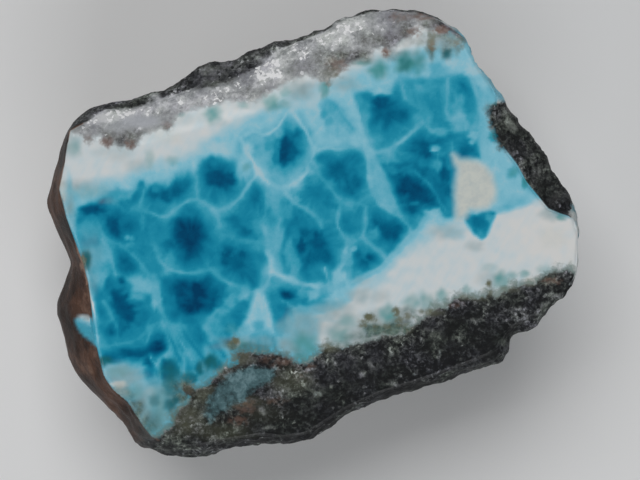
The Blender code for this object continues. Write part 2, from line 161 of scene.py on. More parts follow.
# Cells of blue: tone, softness of the edge, corners
CELLS = (
    (0.38, 4, (
        (80, 208), (88, 204), (98, 204), (110, 203), (118, 203), (131, 201), (137, 192), (141, 185),
        (147, 193), (151, 190), (156, 184), (161, 187), (166, 192), (170, 186), (176, 181), (186, 180),
        (191, 184), (194, 192), (196, 198), (188, 200), (178, 206), (171, 211), (158, 213), (148, 210),
        (136, 207), (122, 211), (112, 208), (102, 207), (95, 214), (84, 216))),
    (0.3, 6, (
        (98, 207), (112, 203), (126, 208), (135, 214), (138, 225), (136, 236), (128, 246), (118, 243),
        (108, 238), (100, 229))),
    (0.38, 5, (
        (134, 212), (148, 216), (149, 230), (150, 241), (150, 250), (141, 252), (134, 246), (138, 230))),
    (0.45, 6, (
        (152, 216), (166, 219), (174, 216), (178, 220), (175, 235), (180, 245), (186, 260), (183, 270),
        (175, 268), (166, 265), (160, 259), (155, 248), (152, 238))),
    (0.36, 6, (
        (173, 216), (181, 210), (190, 204), (197, 203), (206, 209), (213, 217), (218, 230), (218, 238),
        (213, 248), (208, 258), (207, 267), (196, 269), (185, 269), (176, 262), (172, 250), (169, 236))),
    (0.28, 5, (
        (110, 247), (120, 247), (130, 254), (136, 262), (137, 272), (128, 277), (116, 272), (110, 262))),
    (0.38, 5, ((140, 252), (150, 250), (156, 258), (162, 268), (160, 277), (152, 276), (144, 268))),
    (0.3, 6, (
        (200, 166), (205, 162), (212, 158), (220, 160), (228, 163), (233, 170), (237, 185), (234, 196),
        (228, 203), (220, 206), (212, 204), (206, 200), (200, 190), (198, 178))),
    (0.58, 7, (
        (258, 143), (270, 136), (280, 129), (289, 118), (297, 119), (303, 128), (310, 140), (315, 149),
        (312, 160), (306, 170), (300, 177), (294, 182), (286, 185), (279, 184), (271, 179), (262, 168),
        (256, 158))),
    (0.34, 6, (
        (318, 152), (330, 150), (346, 150), (358, 152), (366, 152), (369, 162), (370, 178), (366, 190),
        (358, 196), (350, 203), (344, 202), (337, 195), (330, 186), (322, 176), (316, 166))),
    (0.42, 5, (
        (352, 93), (365, 93), (372, 96), (382, 98), (390, 94), (397, 90), (401, 97), (405, 112),
        (414, 124), (408, 134), (402, 141), (395, 146), (388, 149), (374, 150), (368, 146), (362, 132),
        (360, 118), (355, 106))),
    (0.53, 6, (
        (404, 82), (420, 79), (436, 79), (447, 82), (446, 100), (446, 118), (434, 126), (424, 121),
        (414, 126), (406, 112), (402, 96))),
    (0.5, 5, (
        (456, 82), (462, 77), (469, 80), (474, 92), (478, 105), (480, 122), (468, 126), (460, 124),
        (457, 112), (456, 96))),
    (0.3, 6, (
        (404, 143), (410, 135), (417, 130), (423, 125), (430, 130), (446, 132), (452, 136), (452, 148),
        (450, 160), (444, 168), (430, 164), (412, 160), (400, 156), (396, 150))),
    (0.35, 4, (
        (448, 132), (457, 130), (464, 134), (470, 138), (469, 143), (475, 147), (479, 153), (480, 158),
        (470, 159), (462, 158), (453, 154), (450, 145))),
    (0.22, 6, (
        (376, 152), (390, 152), (402, 158), (416, 162), (432, 166), (446, 170), (450, 180), (446, 192),
        (446, 206), (448, 216), (440, 214), (432, 210), (422, 218), (414, 228), (408, 224), (400, 216),
        (402, 214), (397, 200), (392, 185), (383, 172), (376, 160))),
    (0.72, 5, (
        (371, 154), (377, 156), (384, 170), (392, 186), (397, 202), (402, 216), (394, 212), (386, 207),
        (378, 202), (373, 192), (370, 178))),
    (0.42, 6, (
        (222, 213), (230, 209), (238, 205), (247, 205), (256, 212), (262, 222), (266, 231), (266, 241),
        (256, 240), (246, 240), (238, 238), (230, 234), (224, 228))),
    (0.33, 6, (
        (221, 244), (232, 243), (246, 244), (258, 246), (267, 250), (269, 262), (269, 272), (264, 282),
        (256, 288), (244, 287), (234, 284), (224, 278), (214, 268), (213, 256))),
    (0.36, 6, (
        (248, 184), (256, 178), (263, 182), (268, 192), (268, 206), (263, 216), (254, 211), (247, 203),
        (245, 194))),
    (0.38, 6, (
        (299, 184), (307, 177), (313, 172), (320, 178), (328, 188), (336, 197), (336, 206), (328, 210),
        (318, 208), (309, 204), (300, 198), (294, 190))),
    (0.3, 7, (
        (288, 204), (300, 204), (310, 209), (316, 216), (322, 225), (330, 219), (337, 214), (337, 228),
        (342, 236), (346, 244), (343, 256), (340, 266), (336, 272), (333, 284), (322, 287), (312, 284),
        (302, 280), (293, 277), (284, 273), (278, 262), (278, 248), (284, 232), (288, 218))),
    (0.42, 5, (
        (342, 204), (352, 206), (362, 208), (364, 222), (362, 236), (352, 240), (346, 238), (341, 230),
        (340, 216))),
    (0.3, 5, (
        (368, 206), (378, 207), (388, 211), (398, 218), (406, 228), (408, 234), (402, 242), (394, 250),
        (388, 256), (382, 250), (375, 245), (368, 240), (365, 232), (366, 218))),
    (0.4, 5, (
        (402, 214), (412, 208), (424, 206), (430, 210), (424, 217), (418, 227), (411, 231), (406, 224))),
    (0.38, 5, (
        (350, 246), (358, 241), (366, 244), (376, 250), (383, 256), (382, 264), (374, 271), (362, 277),
        (352, 281), (346, 276), (346, 262))),
    (0.2, 6, (
        (158, 288), (166, 278), (176, 274), (186, 274), (200, 275), (211, 272), (222, 281), (232, 287),
        (240, 290), (236, 297), (224, 306), (215, 312), (208, 322), (196, 326), (186, 325), (177, 322),
        (168, 318), (162, 308), (159, 298))),
    (0.38, 7, (
        (106, 276), (118, 274), (130, 278), (142, 278), (152, 282), (157, 294), (160, 308), (164, 318),
        (160, 323), (150, 328), (144, 334), (140, 338), (130, 341), (118, 343), (108, 340), (100, 330),
        (97, 316), (98, 300), (100, 286))),
    (0.28, 4, (
        (102, 350), (115, 348), (130, 347), (142, 344), (150, 337), (158, 331), (165, 330), (168, 338),
        (166, 348), (158, 356), (148, 361), (136, 359), (124, 358), (110, 361), (103, 358))),
    (0.42, 5, (
        (270, 294), (282, 288), (296, 285), (308, 288), (318, 288), (330, 292), (325, 303), (310, 304),
        (300, 309), (289, 315), (281, 326), (276, 334), (273, 326), (270, 314), (267, 303))),
    (0.4, 3, (
        (465, 212), (471, 214), (476, 216), (481, 213), (490, 211), (494, 212), (495, 214), (491, 223),
        (488, 230), (484, 236), (481, 238), (475, 234), (469, 227), (464, 219))),
    (0.02, 9, (
        (177, 220), (202, 222), (207, 240), (200, 248), (193, 262), (186, 258), (180, 245), (175, 235))),
    (0.84, 4, (
        (256, 288), (262, 291), (267, 302), (270, 315), (274, 334), (262, 340), (248, 338), (240, 333),
        (243, 322), (248, 312), (251, 302))),
)

# Darker and lighter patches: x, y, half width, half height, tone
PATCHES = (
    (137, 197, 4, 6, 0.3), (153, 194, 5, 6, 0.22), (165, 196, 6, 6, 0.2), (178, 191, 8, 8, 0.18),
    (185, 184, 5, 5, 0.3), (160, 206, 8, 4, 0.4), (141, 187, 3, 5, 0.35), (156, 188, 4, 4, 0.5),
    (121, 193, 9, 5, 0.62), (92, 210, 11, 5, 0.08), (103, 204, 4, 5, 0.24), (121, 206, 5, 5, 0.24),
    (118, 215, 8, 6, 0.26), (111, 223, 6, 7, 0.06), (116, 231, 6, 7, 0.1), (128, 229, 7, 6, 0.28),
    (132, 241, 8, 8, 0.34), (128, 237, 3, 3, 0.64), (133, 239, 3, 3, 0.6), (135, 244, 3, 2, 0.68),
    (131, 246, 5, 3, 0.58), (147, 216, 4, 5, 0.34), (142, 222, 3, 8, 0.52), (155, 222, 4, 6, 0.4),
    (154, 234, 4, 5, 0.42), (143, 243, 7, 7, 0.38), (150, 267, 7, 8, 0.36), (70, 214, 7, 22, 0.8),
    (88, 230, 8, 8, 0.6), (97, 258, 14, 16, 0.67), (101, 278, 9, 8, 0.68), (188, 209, 5, 4, 0.3),
    (124, 257, 7, 7, 0.16), (129, 267, 6, 5, 0.26), (168, 244, 7, 6, 0.24), (170, 259, 6, 7, 0.54),
    (217, 179, 13, 10, 0.08), (216, 167, 8, 4, 0.26), (229, 179, 5, 7, 0.1), (218, 195, 12, 7, 0.34),
    (213, 163, 4, 4, 0.34), (243, 168, 8, 15, 0.77), (248, 150, 6, 8, 0.86), (246, 133, 5, 4, 0.7),
    (257, 140, 8, 4, 0.68), (262, 157, 9, 15, 0.7), (289, 147, 11, 15, 0.28), (304, 145, 8, 11, 0.36),
    (284, 158, 6, 9, 0.14), (286, 145, 7, 8, 0.06), (283, 152, 5, 8, 0.04), (296, 133, 6, 6, 0.16),
    (293, 152, 5, 6, 0.2), (293, 124, 6, 6, 0.54), (276, 144, 5, 4, 0.48), (280, 134, 5, 5, 0.62),
    (268, 146, 4, 4, 0.54), (276, 157, 3, 7, 0.42), (287, 172, 11, 6, 0.56), (312, 100, 20, 12, 0.9),
    (290, 104, 12, 6, 0.9), (341, 92, 11, 6, 0.88), (336, 128, 14, 12, 0.78), (330, 108, 9, 7, 0.66),
    (325, 114, 4, 5, 0.6), (330, 121, 5, 5, 0.66), (216, 149, 12, 7, 0.9), (338, 170, 9, 9, 0.2),
    (352, 186, 8, 8, 0.18), (328, 184, 6, 6, 0.52), (344, 193, 6, 5, 0.24), (390, 112, 17, 13, 0.2),
    (381, 103, 8, 6, 0.12), (397, 95, 5, 4, 0.34), (366, 114, 4, 15, 0.54), (386, 140, 14, 6, 0.44),
    (366, 141, 5, 7, 0.56), (382, 91, 10, 4, 0.84), (412, 131, 5, 4, 0.42), (438, 112, 8, 12, 0.45),
    (424, 88, 13, 6, 0.62), (312, 167, 5, 7, 0.72), (458, 64, 16, 8, 0.86), (472, 72, 8, 6, 0.92),
    (437, 70, 8, 8, 0.68), (413, 69, 12, 6, 0.72), (479, 81, 5, 5, 0.86), (458, 107, 6, 13, 0.64),
    (459, 119, 8, 6, 0.74), (466, 88, 7, 7, 0.34), (471, 101, 6, 12, 0.38), (491, 94, 9, 7, 0.78),
    (465, 126, 15, 4, 0.7), (513, 172, 6, 6, 0.68), (525, 183, 3, 5, 0.6), (494, 137, 5, 5, 0.5),
    (511, 202, 6, 4, 0.8), (540, 205, 6, 4, 0.93), (520, 193, 5, 4, 0.86), (466, 151, 7, 5, 0.24),
    (439, 180, 4, 4, 0.3), (459, 139, 4, 3, 0.46), (471, 143, 3, 3, 0.74), (474, 136, 5, 5, 0.78),
    (421, 147, 13, 8, 0.2), (428, 149, 6, 7, 0.1), (441, 132, 7, 4, 0.64), (446, 146, 5, 5, 0.4),
    (441, 153, 6, 4, 0.46), (436, 147, 5, 3, 0.68), (434, 149, 3, 2, 0.8), (388, 158, 12, 8, 0.62),
    (405, 155, 8, 5, 0.5), (426, 163, 9, 4, 0.42), (438, 166, 6, 6, 0.58), (411, 186, 12, 12, 0.05),
    (405, 169, 9, 4, 0.36), (408, 202, 6, 6, 0.34), (424, 196, 11, 10, 0.07), (415, 208, 9, 6, 0.14),
    (432, 207, 5, 5, 0.16), (445, 173, 5, 8, 0.14), (446, 190, 4, 7, 0.22), (433, 177, 4, 5, 0.28),
    (414, 204, 4, 2, 0.34), (434, 214, 9, 6, 0.84), (442, 223, 13, 5, 0.85), (234, 223, 7, 6, 0.22),
    (244, 233, 8, 5, 0.2), (254, 238, 4, 3, 0.32), (229, 249, 6, 5, 0.2), (225, 260, 5, 6, 0.06),
    (236, 263, 12, 8, 0.2), (242, 255, 4, 4, 0.16), (253, 262, 4, 5, 0.3), (254, 249, 8, 4, 0.52),
    (246, 277, 7, 5, 0.28), (277, 242, 8, 20, 0.68), (256, 195, 5, 11, 0.24), (262, 208, 5, 5, 0.34),
    (392, 170, 5, 5, 0.46), (275, 200, 7, 14, 0.62), (279, 214, 7, 8, 0.62), (271, 223, 4, 5, 0.52),
    (290, 253, 6, 17, 0.6), (296, 233, 5, 6, 0.45), (296, 200, 5, 5, 0.64), (288, 213, 5, 8, 0.56),
    (314, 190, 8, 7, 0.28), (331, 202, 7, 6, 0.3), (309, 182, 8, 4, 0.48), (308, 222, 9, 8, 0.34),
    (305, 232, 5, 5, 0.22), (302, 246, 4, 7, 0.06), (319, 242, 8, 11, 0.08), (310, 257, 9, 8, 0.24),
    (325, 255, 7, 7, 0.2), (334, 231, 4, 7, 0.34), (329, 218, 5, 8, 0.46), (296, 265, 5, 8, 0.56),
    (307, 272, 5, 5, 0.32), (320, 273, 10, 6, 0.42), (341, 282, 8, 12, 0.88), (320, 285, 4, 3, 0.6),
    (329, 285, 4, 3, 0.6), (346, 218, 4, 6, 0.28), (344, 228, 4, 5, 0.33), (353, 228, 5, 6, 0.36),
    (391, 229, 13, 11, 0.13), (378, 219, 5, 7, 0.2), (374, 235, 6, 6, 0.58), (390, 248, 6, 5, 0.12),
    (386, 244, 6, 4, 0.26), (372, 258, 5, 5, 0.0), (364, 266, 6, 5, 0.12), (358, 254, 5, 4, 0.28),
    (349, 264, 4, 11, 0.6), (354, 249, 4, 3, 0.86), (183, 288, 16, 9, 0.12), (171, 287, 6, 6, 0.1),
    (201, 291, 8, 8, -0.04), (194, 305, 12, 8, 0.02), (171, 304, 6, 8, 0.34), (181, 318, 8, 5, 0.26),
    (209, 283, 8, 7, 0.12), (214, 293, 7, 8, 0.14), (222, 292, 5, 6, 0.28), (210, 307, 5, 6, 0.08),
    (230, 290, 5, 4, 0.42), (233, 298, 5, 4, 0.5), (242, 295, 7, 5, 0.76), (230, 303, 6, 5, 0.66),
    (222, 311, 6, 4, 0.64), (237, 316, 6, 8, 0.4), (226, 323, 7, 5, 0.48), (215, 326, 6, 8, 0.54),
    (99, 303, 4, 9, 0.34), (103, 315, 5, 6, 0.26), (111, 282, 5, 5, 0.3), (121, 280, 4, 4, 0.1),
    (116, 294, 7, 5, 0.2), (118, 303, 8, 8, 0.08), (123, 310, 9, 8, 0.05), (129, 317, 10, 7, 0.1),
    (141, 320, 7, 6, 0.32), (144, 286, 13, 10, 0.76), (137, 297, 7, 4, 0.64), (156, 299, 5, 9, 0.76),
    (113, 329, 5, 7, 0.14), (121, 327, 7, 6, 0.12), (104, 330, 6, 7, 0.3), (156, 346, 10, 7, 0.04),
    (134, 353, 16, 4, 0.12), (111, 356, 7, 4, 0.24), (157, 336, 7, 4, 0.28), (176, 330, 10, 8, 0.66),
    (191, 336, 7, 8, 0.42), (199, 338, 8, 12, 0.3), (168, 281, 5, 5, 0.16), (280, 328, 7, 9, 0.52),
    (104, 343, 7, 5, 0.38), (182, 346, 9, 8, 0.46), (225, 336, 8, 8, 0.47), (258, 326, 6, 5, 0.64),
    (262, 336, 11, 6, 0.66), (245, 332, 6, 6, 0.76), (180, 368, 16, 13, 0.46), (169, 367, 7, 7, 0.16),
    (168, 376, 6, 5, 0.25), (169, 385, 6, 6, 0.36), (151, 362, 7, 6, 0.2), (152, 373, 7, 7, 0.42),
    (155, 382, 6, 8, 0.62), (116, 371, 14, 8, 0.84), (132, 381, 12, 7, 0.8), (119, 385, 8, 4, 0.97),
    (182, 363, 4, 11, 0.74), (211, 362, 5, 6, 0.22), (217, 365, 4, 5, 0.3), (199, 368, 3, 5, 0.3),
    (191, 378, 6, 5, 0.32), (145, 400, 12, 12, 0.8), (160, 410, 10, 16, 0.74), (170, 404, 5, 5, 0.3),
    (175, 399, 3, 3, 0.25), (154, 401, 4, 5, 0.55), (150, 392, 6, 4, 0.86), (289, 295, 8, 6, 0.12),
    (287, 296, 5, 4, -0.02), (301, 294, 5, 4, 0.5), (313, 295, 6, 5, 0.74), (473, 118, 6, 6, 0.56),
    (283, 307, 5, 5, 0.32), (280, 316, 4, 6, 0.42), (478, 222, 6, 5, 0.26), (467, 216, 3, 3, 0.4),
    (489, 217, 4, 4, 0.62), (481, 233, 4, 4, 0.55), (339, 298, 12, 5, 0.82), (300, 309, 9, 4, 0.68),
    (545, 238, 34, 24, 1.0), (325, 318, 10, 5, 0.93), (452, 230, 12, 9, 0.92),
)

# Thin streaks of fibre, and a painted highlight along the left edge: tone, width, first end, second end
STREAKS = (
    (0.7, 2.2, (162, 322), (175, 352)), (0.7, 2.2, (175, 352), (184, 374)),
    (0.7, 2.2, (171, 326), (193, 360)), (0.72, 2.2, (180, 328), (200, 354)),
    (0.42, 3, (168, 332), (181, 362)), (0.4, 3, (184, 332), (207, 364)),
    (0.4, 3, (200, 333), (216, 352)), (0.66, 2, (206, 327), (222, 362)),
    (0.6, 2, (213, 320), (230, 342)), (0.35, 2, (218, 346), (224, 357)),
    (0.35, 2, (229, 339), (233, 349)), (0.62, 2, (150, 332), (146, 344)),
    (0.88, 2, (257, 293), (252, 314)), (0.87, 2.5, (261, 292), (262, 312)),
    (0.89, 2.5, (264, 296), (272, 333)), (0.5, 1.5, (252, 338), (251, 349)),
    (0.5, 1.5, (259, 340), (259, 351)), (0.5, 1.5, (266, 340), (267, 351)),
    # The streaks from (86, 268) to (98, 342) are the left edge's painted highlight, a pale line where light
    # glints
    (0.5, 1.5, (273, 338), (275, 348)), (1.0, 2, (86, 268), (92, 298)), (1.0, 2, (92, 298), (95, 318)),
    (0.86, 3, (95, 320), (98, 342)), (0.93, 2.4, (250, 158), (259, 173)),
    (0.92, 2.4, (259, 173), (269, 184)), (0.6, 3, (114, 203), (118, 192)),
    (0.62, 3, (144, 190), (139, 207)), (0.86, 2, (345, 275), (349, 287)),
    (0.56, 2.5, (334, 104), (343, 117)), (0.6, 2.5, (343, 117), (352, 128)),
    (0.72, 3, (336, 118), (338, 136)), (0.6, 2, (437, 153), (440, 167)),
    (0.6, 2.5, (452, 139), (452, 156)),
)

# Veins: tone at its start, tone at its end, width, points along it
VEINS = (
    (0.86, 0.74, 3, ((64, 200), (67, 210), (73, 228), (79, 246))),
    (0.57, 0.62, 4, (
        (98, 222), (100, 230), (105, 238), (112, 241), (120, 244), (128, 250), (135, 258), (141, 265),
        (147, 274), (152, 279), (158, 287))),
    (0.68, 0.7, 4, ((103, 240), (108, 250), (112, 262), (116, 274))),
    (0.6, 0.72, 4, ((132, 208), (140, 210), (150, 213), (158, 216), (166, 216), (172, 212))),
    (0.72, 0.66, 4, (
        (172, 212), (180, 207), (190, 201), (197, 199), (205, 203), (212, 208), (217, 211))),
    (0.52, 0.76, 5, ((150, 233), (154, 242), (157, 250), (159, 257), (162, 263), (167, 269))),
    (0.72, 0.66, 4, ((166, 268), (175, 271), (185, 272), (196, 272), (205, 270), (211, 269))),
    (0.78, 0.68, 5, ((212, 209), (216, 213), (219, 222), (224, 232))),
    (0.6, 0.26, 5, ((223, 233), (220, 240), (216, 250), (212, 264))),
    (0.7, 0.8, 4, (
        (216, 212), (222, 209), (230, 207), (236, 202), (241, 197), (245, 190), (250, 184), (255, 178),
        (257, 172))),
    (0.7, 0.66, 3, ((197, 176), (196, 188), (199, 200))),
    (0.88, 0.97, 5, (
        (241, 138), (245, 146), (249, 156), (254, 165), (259, 173), (265, 180), (272, 184), (280, 187),
        (288, 186), (295, 183))),
    (0.9, 0.82, 4, ((295, 183), (301, 178), (307, 171), (311, 162), (314, 155), (316, 148))),
    (0.86, 0.9, 4, ((316, 148), (310, 140), (304, 128), (298, 118), (292, 114), (292, 110))),
    (0.86, 0.9, 3, (
        (245, 135), (253, 132), (262, 135), (270, 133), (278, 127), (283, 120), (287, 114), (292, 110))),
    (0.84, 0.74, 4, ((314, 150), (326, 148), (336, 149), (347, 147))),
    (0.88, 0.88, 5, ((349, 88), (354, 105), (359, 118), (361, 134), (367, 148))),
    (0.8, 0.72, 5, (
        (362, 135), (368, 149), (374, 152), (388, 150), (395, 146), (402, 141), (408, 135), (415, 129),
        (422, 122))),
    (0.7, 0.68, 4, ((422, 122), (428, 127), (433, 130), (447, 130), (465, 128), (480, 128))),
    (0.72, 0.7, 4, ((401, 76), (402, 88), (404, 98))),
    (0.74, 0.72, 3, ((448, 80), (447, 95), (447, 108), (450, 119), (456, 126))),
    (0.76, 0.76, 4, ((471, 78), (476, 92), (480, 105), (483, 125))),
    (0.8, 0.72, 5, (
        (367, 148), (369, 165), (370, 180), (372, 192), (378, 203), (390, 210), (400, 217), (408, 226),
        (412, 236))),
    (0.5, 0.54, 3, (
        (414, 171), (418, 175), (425, 180), (431, 186), (436, 195), (441, 205), (448, 213))),
    (0.55, 0.56, 4, ((223, 231), (230, 236), (237, 240), (244, 241), (252, 242), (265, 243))),
    (0.6, 0.8, 5, (
        (211, 269), (222, 279), (232, 285), (240, 288), (250, 290), (262, 290), (268, 284), (271, 276),
        (272, 272))),
    (0.8, 0.74, 5, ((272, 272), (271, 262), (268, 252), (267, 240), (266, 230), (262, 222))),
    (0.62, 0.66, 4, ((262, 222), (266, 210), (268, 196), (270, 184))),
    (0.78, 0.64, 5, (
        (283, 188), (288, 196), (295, 203), (303, 207), (311, 212), (317, 219), (322, 228))),
    (0.62, 0.64, 4, (
        (311, 163), (316, 170), (322, 178), (330, 188), (337, 197), (343, 202), (350, 206))),
    (0.62, 0.7, 4, (
        (340, 200), (338, 212), (338, 225), (342, 233), (347, 240), (347, 246), (344, 252))),
    (0.92, 0.86, 5, (
        (272, 272), (280, 275), (288, 278), (295, 281), (302, 284), (310, 284), (317, 287))),
    (0.82, 0.88, 5, ((345, 250), (343, 260), (341, 268), (337, 273), (335, 281), (336, 292))),
    (0.78, 0.74, 2.5, ((325, 268), (327, 276), (328, 284))),
    (0.64, 0.7, 5, (
        (350, 204), (358, 204), (366, 208), (365, 225), (363, 238), (368, 242), (375, 247), (381, 252),
        (385, 258))),
    (0.62, 0.68, 4, ((347, 243), (355, 241), (363, 238))),
    (0.62, 0.6, 3, ((366, 196), (362, 202), (352, 206))),
    (0.8, 0.76, 5, (
        (425, 217), (418, 228), (408, 239), (399, 248), (390, 257), (382, 265), (372, 273), (360, 279),
        (346, 284), (330, 289))),
    (0.74, 0.6, 5, ((158, 286), (157, 298), (160, 307), (163, 314), (168, 321), (178, 328))),
    (0.62, 0.68, 4, ((103, 301), (107, 307), (110, 314), (114, 322), (117, 327))),
    (0.58, 0.6, 3.5, (
        (98, 346), (106, 346), (120, 344), (132, 342), (140, 339), (144, 334), (150, 329), (157, 323))),
    (0.62, 0.7, 4, ((181, 328), (189, 340), (197, 350), (203, 360), (206, 368))),
    (0.7, 0.7, 4, ((207, 325), (213, 335), (218, 346), (224, 356))),
    (0.84, 0.8, 1.5, ((151, 356), (153, 360), (157, 365))),
    (0.6, 0.62, 2, ((283, 301), (288, 302), (289, 305))),
    (0.78, 0.8, 3, ((286, 334), (282, 345), (283, 354))),
    (0.56, 0.5, 4, ((115, 200), (120, 206), (125, 212))),
    (0.58, 0.74, 4, ((238, 292), (228, 302), (217, 311), (211, 318), (207, 325))),
)

# Where the rounds of fine fibres start: the middle of each cell
CELL_MIDDLES = (
    (92, 211), (115, 226), (142, 232), (160, 240), (191, 238), (122, 259), (150, 264), (180, 192),
    (155, 196), (217, 178), (285, 151), (341, 172), (383, 112), (408, 76), (452, 78), (425, 147),
    (463, 143), (416, 192), (385, 180), (241, 224), (240, 263), (256, 196), (315, 192), (316, 243),
    (351, 224), (387, 230), (416, 216), (364, 264), (197, 298), (120, 312), (150, 349), (290, 300),
    (478, 222), (259, 318), (170, 372), (205, 350), (96, 250), (330, 118), (500, 150), (441, 190),
    (275, 205), (280, 240), (226, 312), (128, 375),
)

# Rounds of fibres: how closely they lie, how fast they change outwards and from cell to cell, strength, seed
FIBRES = ((3.2, 0.035, 11.0, 0.6, 3), (6.5, 0.06, 17.0, 0.4, 4))
FIBRE_STRENGTH = 0.12
FIBRES_FROM = (3.0, 14.0)  # how far from the middle they start, and are full
WHITE_FROM = (0.8, 0.95)  # tones where blue gives way to white
PALE_FROM = (0.4, 0.6)  # tones where the fibres grow calmer
PALE_CALM = 0.5
BLUE_CLOUDS, WHITE_CLOUDS, CLOUD_WIDTH = 0.05, 0.024, 9.0
MILK_WAY = np.array([0.5, -0.87])  # which way the faint streaks of the white bands run
WHITE_MILK, MILK_LENGTH, MILK_WIDTH = 0.014, 9.0, 3.5

# Round patches: where they start to fade and are gone, in their own sizes, and how the fibres pull them out
PATCH_FADE, TINT_FADE, PATCH_REACH = (0.45, 1.55), (0.35, 1.5), 2.2
FIBRE_SPREAD, TINT_SPREAD = 0.5, 0.3
SMALL_PATCH = 14.0  # a patch whose half width and half height add up to less is pulled out less
PULL_LOBES = 1.6
PATCH_KEY = (0.37, 0.73)  # gives each place its own lobes
TINT_MOTTLE, MOTTLE_WIDTH = 0.35, 1.3  # how much a tint wavers in strength, and over what width

# Veins: how far each is followed, and the widths and strengths of its line and its haze, in its own widths
VEIN_REACH = 5.0
LINE_WIDTH, LINE_STRENGTH = 0.8, 0.84
HAZE_WIDTH, HAZE_STRENGTH = 2.1, 0.42
VEIN_UNEVEN, VEIN_LUMPS, VEIN_LEVEL = 0.7, 13.0, 3.0  # how uneven its width is
LINE_WAVER, LINE_LUMPS = 0.35, 21.0  # and how uneven its strength

# How far drawn outlines wander: by how much, and over what width
WANDERS = ((1.6, 17.0), (0.7, 6.0))

# Seeds that keep the noises apart, and how far apart they are
WANDER_RIGHT, WANDER_DOWN, PULL, CLOUD, MILK, VEIN_EDGE, VEIN_LINE, MOTTLE = 1, 2, 5, 6, 9, 10, 11, 12
SEED_SHIFT = (7.3, 3.1, 5.7)
TINY = 1e-6

# Tints of sage green: x, y, half width, half height, strength
SAGE = (
    (74, 148, 7, 9, 0.35), (390, 318, 8, 11, 0.5), (213, 115, 9, 8, 0.8), (243, 104, 5, 4, 0.4),
    (272, 102, 9, 8, 0.8), (265, 97, 6, 5, 0.4), (285, 93, 6, 5, 0.5), (324, 88, 5, 9, 0.8),
    (181, 114, 4, 3, 0.6), (406, 62, 11, 10, 0.95), (417, 62, 9, 11, 0.6), (379, 70, 9, 9, 0.85),
    (246, 167, 4, 4, 0.45), (88, 192, 20, 7, 0.18), (172, 160, 7, 5, 0.35), (150, 158, 5, 8, 0.35),
    (442, 296, 7, 7, 0.6), (412, 303, 10, 8, 0.5), (426, 302, 8, 8, 0.5), (467, 291, 5, 5, 0.5),
    (388, 314, 8, 10, 0.65), (501, 280, 8, 9, 0.7), (511, 276, 6, 5, 0.5), (490, 268, 8, 5, 0.25),
    (524, 274, 6, 4, 0.6), (561, 217, 5, 3, 0.7), (340, 336, 12, 9, 0.5), (348, 322, 10, 7, 0.4),
    (305, 343, 12, 11, 0.7), (302, 356, 9, 6, 0.6), (169, 385, 7, 7, 0.4), (280, 104, 10, 6, 0.5),
    (160, 406, 12, 20, 0.3), (370, 328, 8, 6, 0.4), (545, 270, 8, 5, 0.35), (513, 172, 5, 5, 0.5),
    (497, 106, 8, 5, 0.7), (362, 63, 12, 3, 0.6), (494, 135, 5, 5, 0.4), (525, 183, 3, 5, 0.6),
    (240, 345, 10, 5, 0.5), (135, 392, 8, 8, 0.35), (150, 428, 10, 10, 0.4), (118, 372, 12, 6, 0.3),
)

# Tints of a dull, milky grey; those on the rolled far edge, round (184, 119) to (250, 104), are painted
# shade that dims the white where the roll turns to the lamp
HAZE_AND_SHADE = (
    (308, 328, 20, 17, 0.5), (288, 326, 11, 10, 0.4), (288, 346, 12, 10, 0.6), (336, 312, 22, 12, 0.5),
    (342, 328, 22, 12, 0.5), (150, 408, 22, 28, 0.6), (122, 377, 22, 12, 0.65), (240, 344, 24, 7, 0.45),
    (74, 187, 16, 7, 0.3), (106, 200, 9, 4, 0.22), (362, 281, 8, 5, 0.2), (67, 203, 8, 14, 0.45),
    (84, 188, 26, 9, 0.28), (72, 144, 9, 14, 0.4), (120, 154, 14, 8, 0.25), (137, 166, 12, 7, 0.32),
    (152, 136, 10, 7, 0.2), (262, 342, 16, 6, 0.35), (345, 84, 14, 8, 0.4), (298, 89, 16, 9, 0.75),
    (455, 40, 10, 10, 0.4), (205, 108, 30, 6, 0.16), (250, 104, 26, 6, 0.35), (90, 252, 12, 20, 0.2),
    (91, 282, 7, 14, 0.25), (184, 119, 14, 7, 0.35), (552, 214, 12, 6, 0.6), (205, 118, 14, 6, 0.25),
    (120, 392, 10, 8, 0.6), (386, 316, 30, 8, 0.5), (432, 304, 20, 6, 0.3), (446, 232, 16, 8, 0.4),
    (474, 246, 9, 6, 0.4), (360, 296, 11, 8, 0.45), (378, 296, 11, 7, 0.3), (136, 377, 10, 6, 0.3),
    (106, 152, 14, 5, 0.25), (216, 121, 10, 5, 0.3), (488, 279, 14, 7, 0.35),
)

# Dark grime in the vein
GRIMY = (
    (184, 391, 14, 13, 1.15), (136, 409, 9, 12, 1.0), (127, 397, 9, 8, 0.5), (148, 425, 12, 12, 0.85),
    (178, 384, 6, 10, 0.5), (85, 262, 6, 10, 1.0), (232, 346, 7, 6, 1.0), (243, 347, 12, 4, 0.3),
    (120, 393, 10, 8, 0.4), (62, 215, 3, 16, 0.5), (72, 184, 16, 6, 0.16), (72, 215, 5, 14, 0.25),
    (489, 108, 5, 6, 0.6), (300, 354, 8, 6, 0.3), (210, 370, 14, 8, 0.3), (394, 329, 19, 9, 1.2),
    (374, 330, 14, 9, 1.1), (363, 324, 5, 4, 0.7), (369, 317, 5, 4, 0.7), (358, 338, 16, 6, 0.7),
    (405, 327, 10, 10, 1.15), (408, 313, 10, 6, 0.65), (345, 344, 16, 5, 0.6), (430, 311, 14, 4, 0.6),
    (392, 56, 8, 6, 0.55), (431, 42, 5, 14, 1.1), (446, 50, 5, 6, 0.9), (457, 41, 8, 11, 0.7),
    (442, 40, 14, 10, 1.0), (408, 41, 9, 5, 0.5), (361, 59, 12, 5, 0.65), (422, 40, 8, 7, 0.55),
)

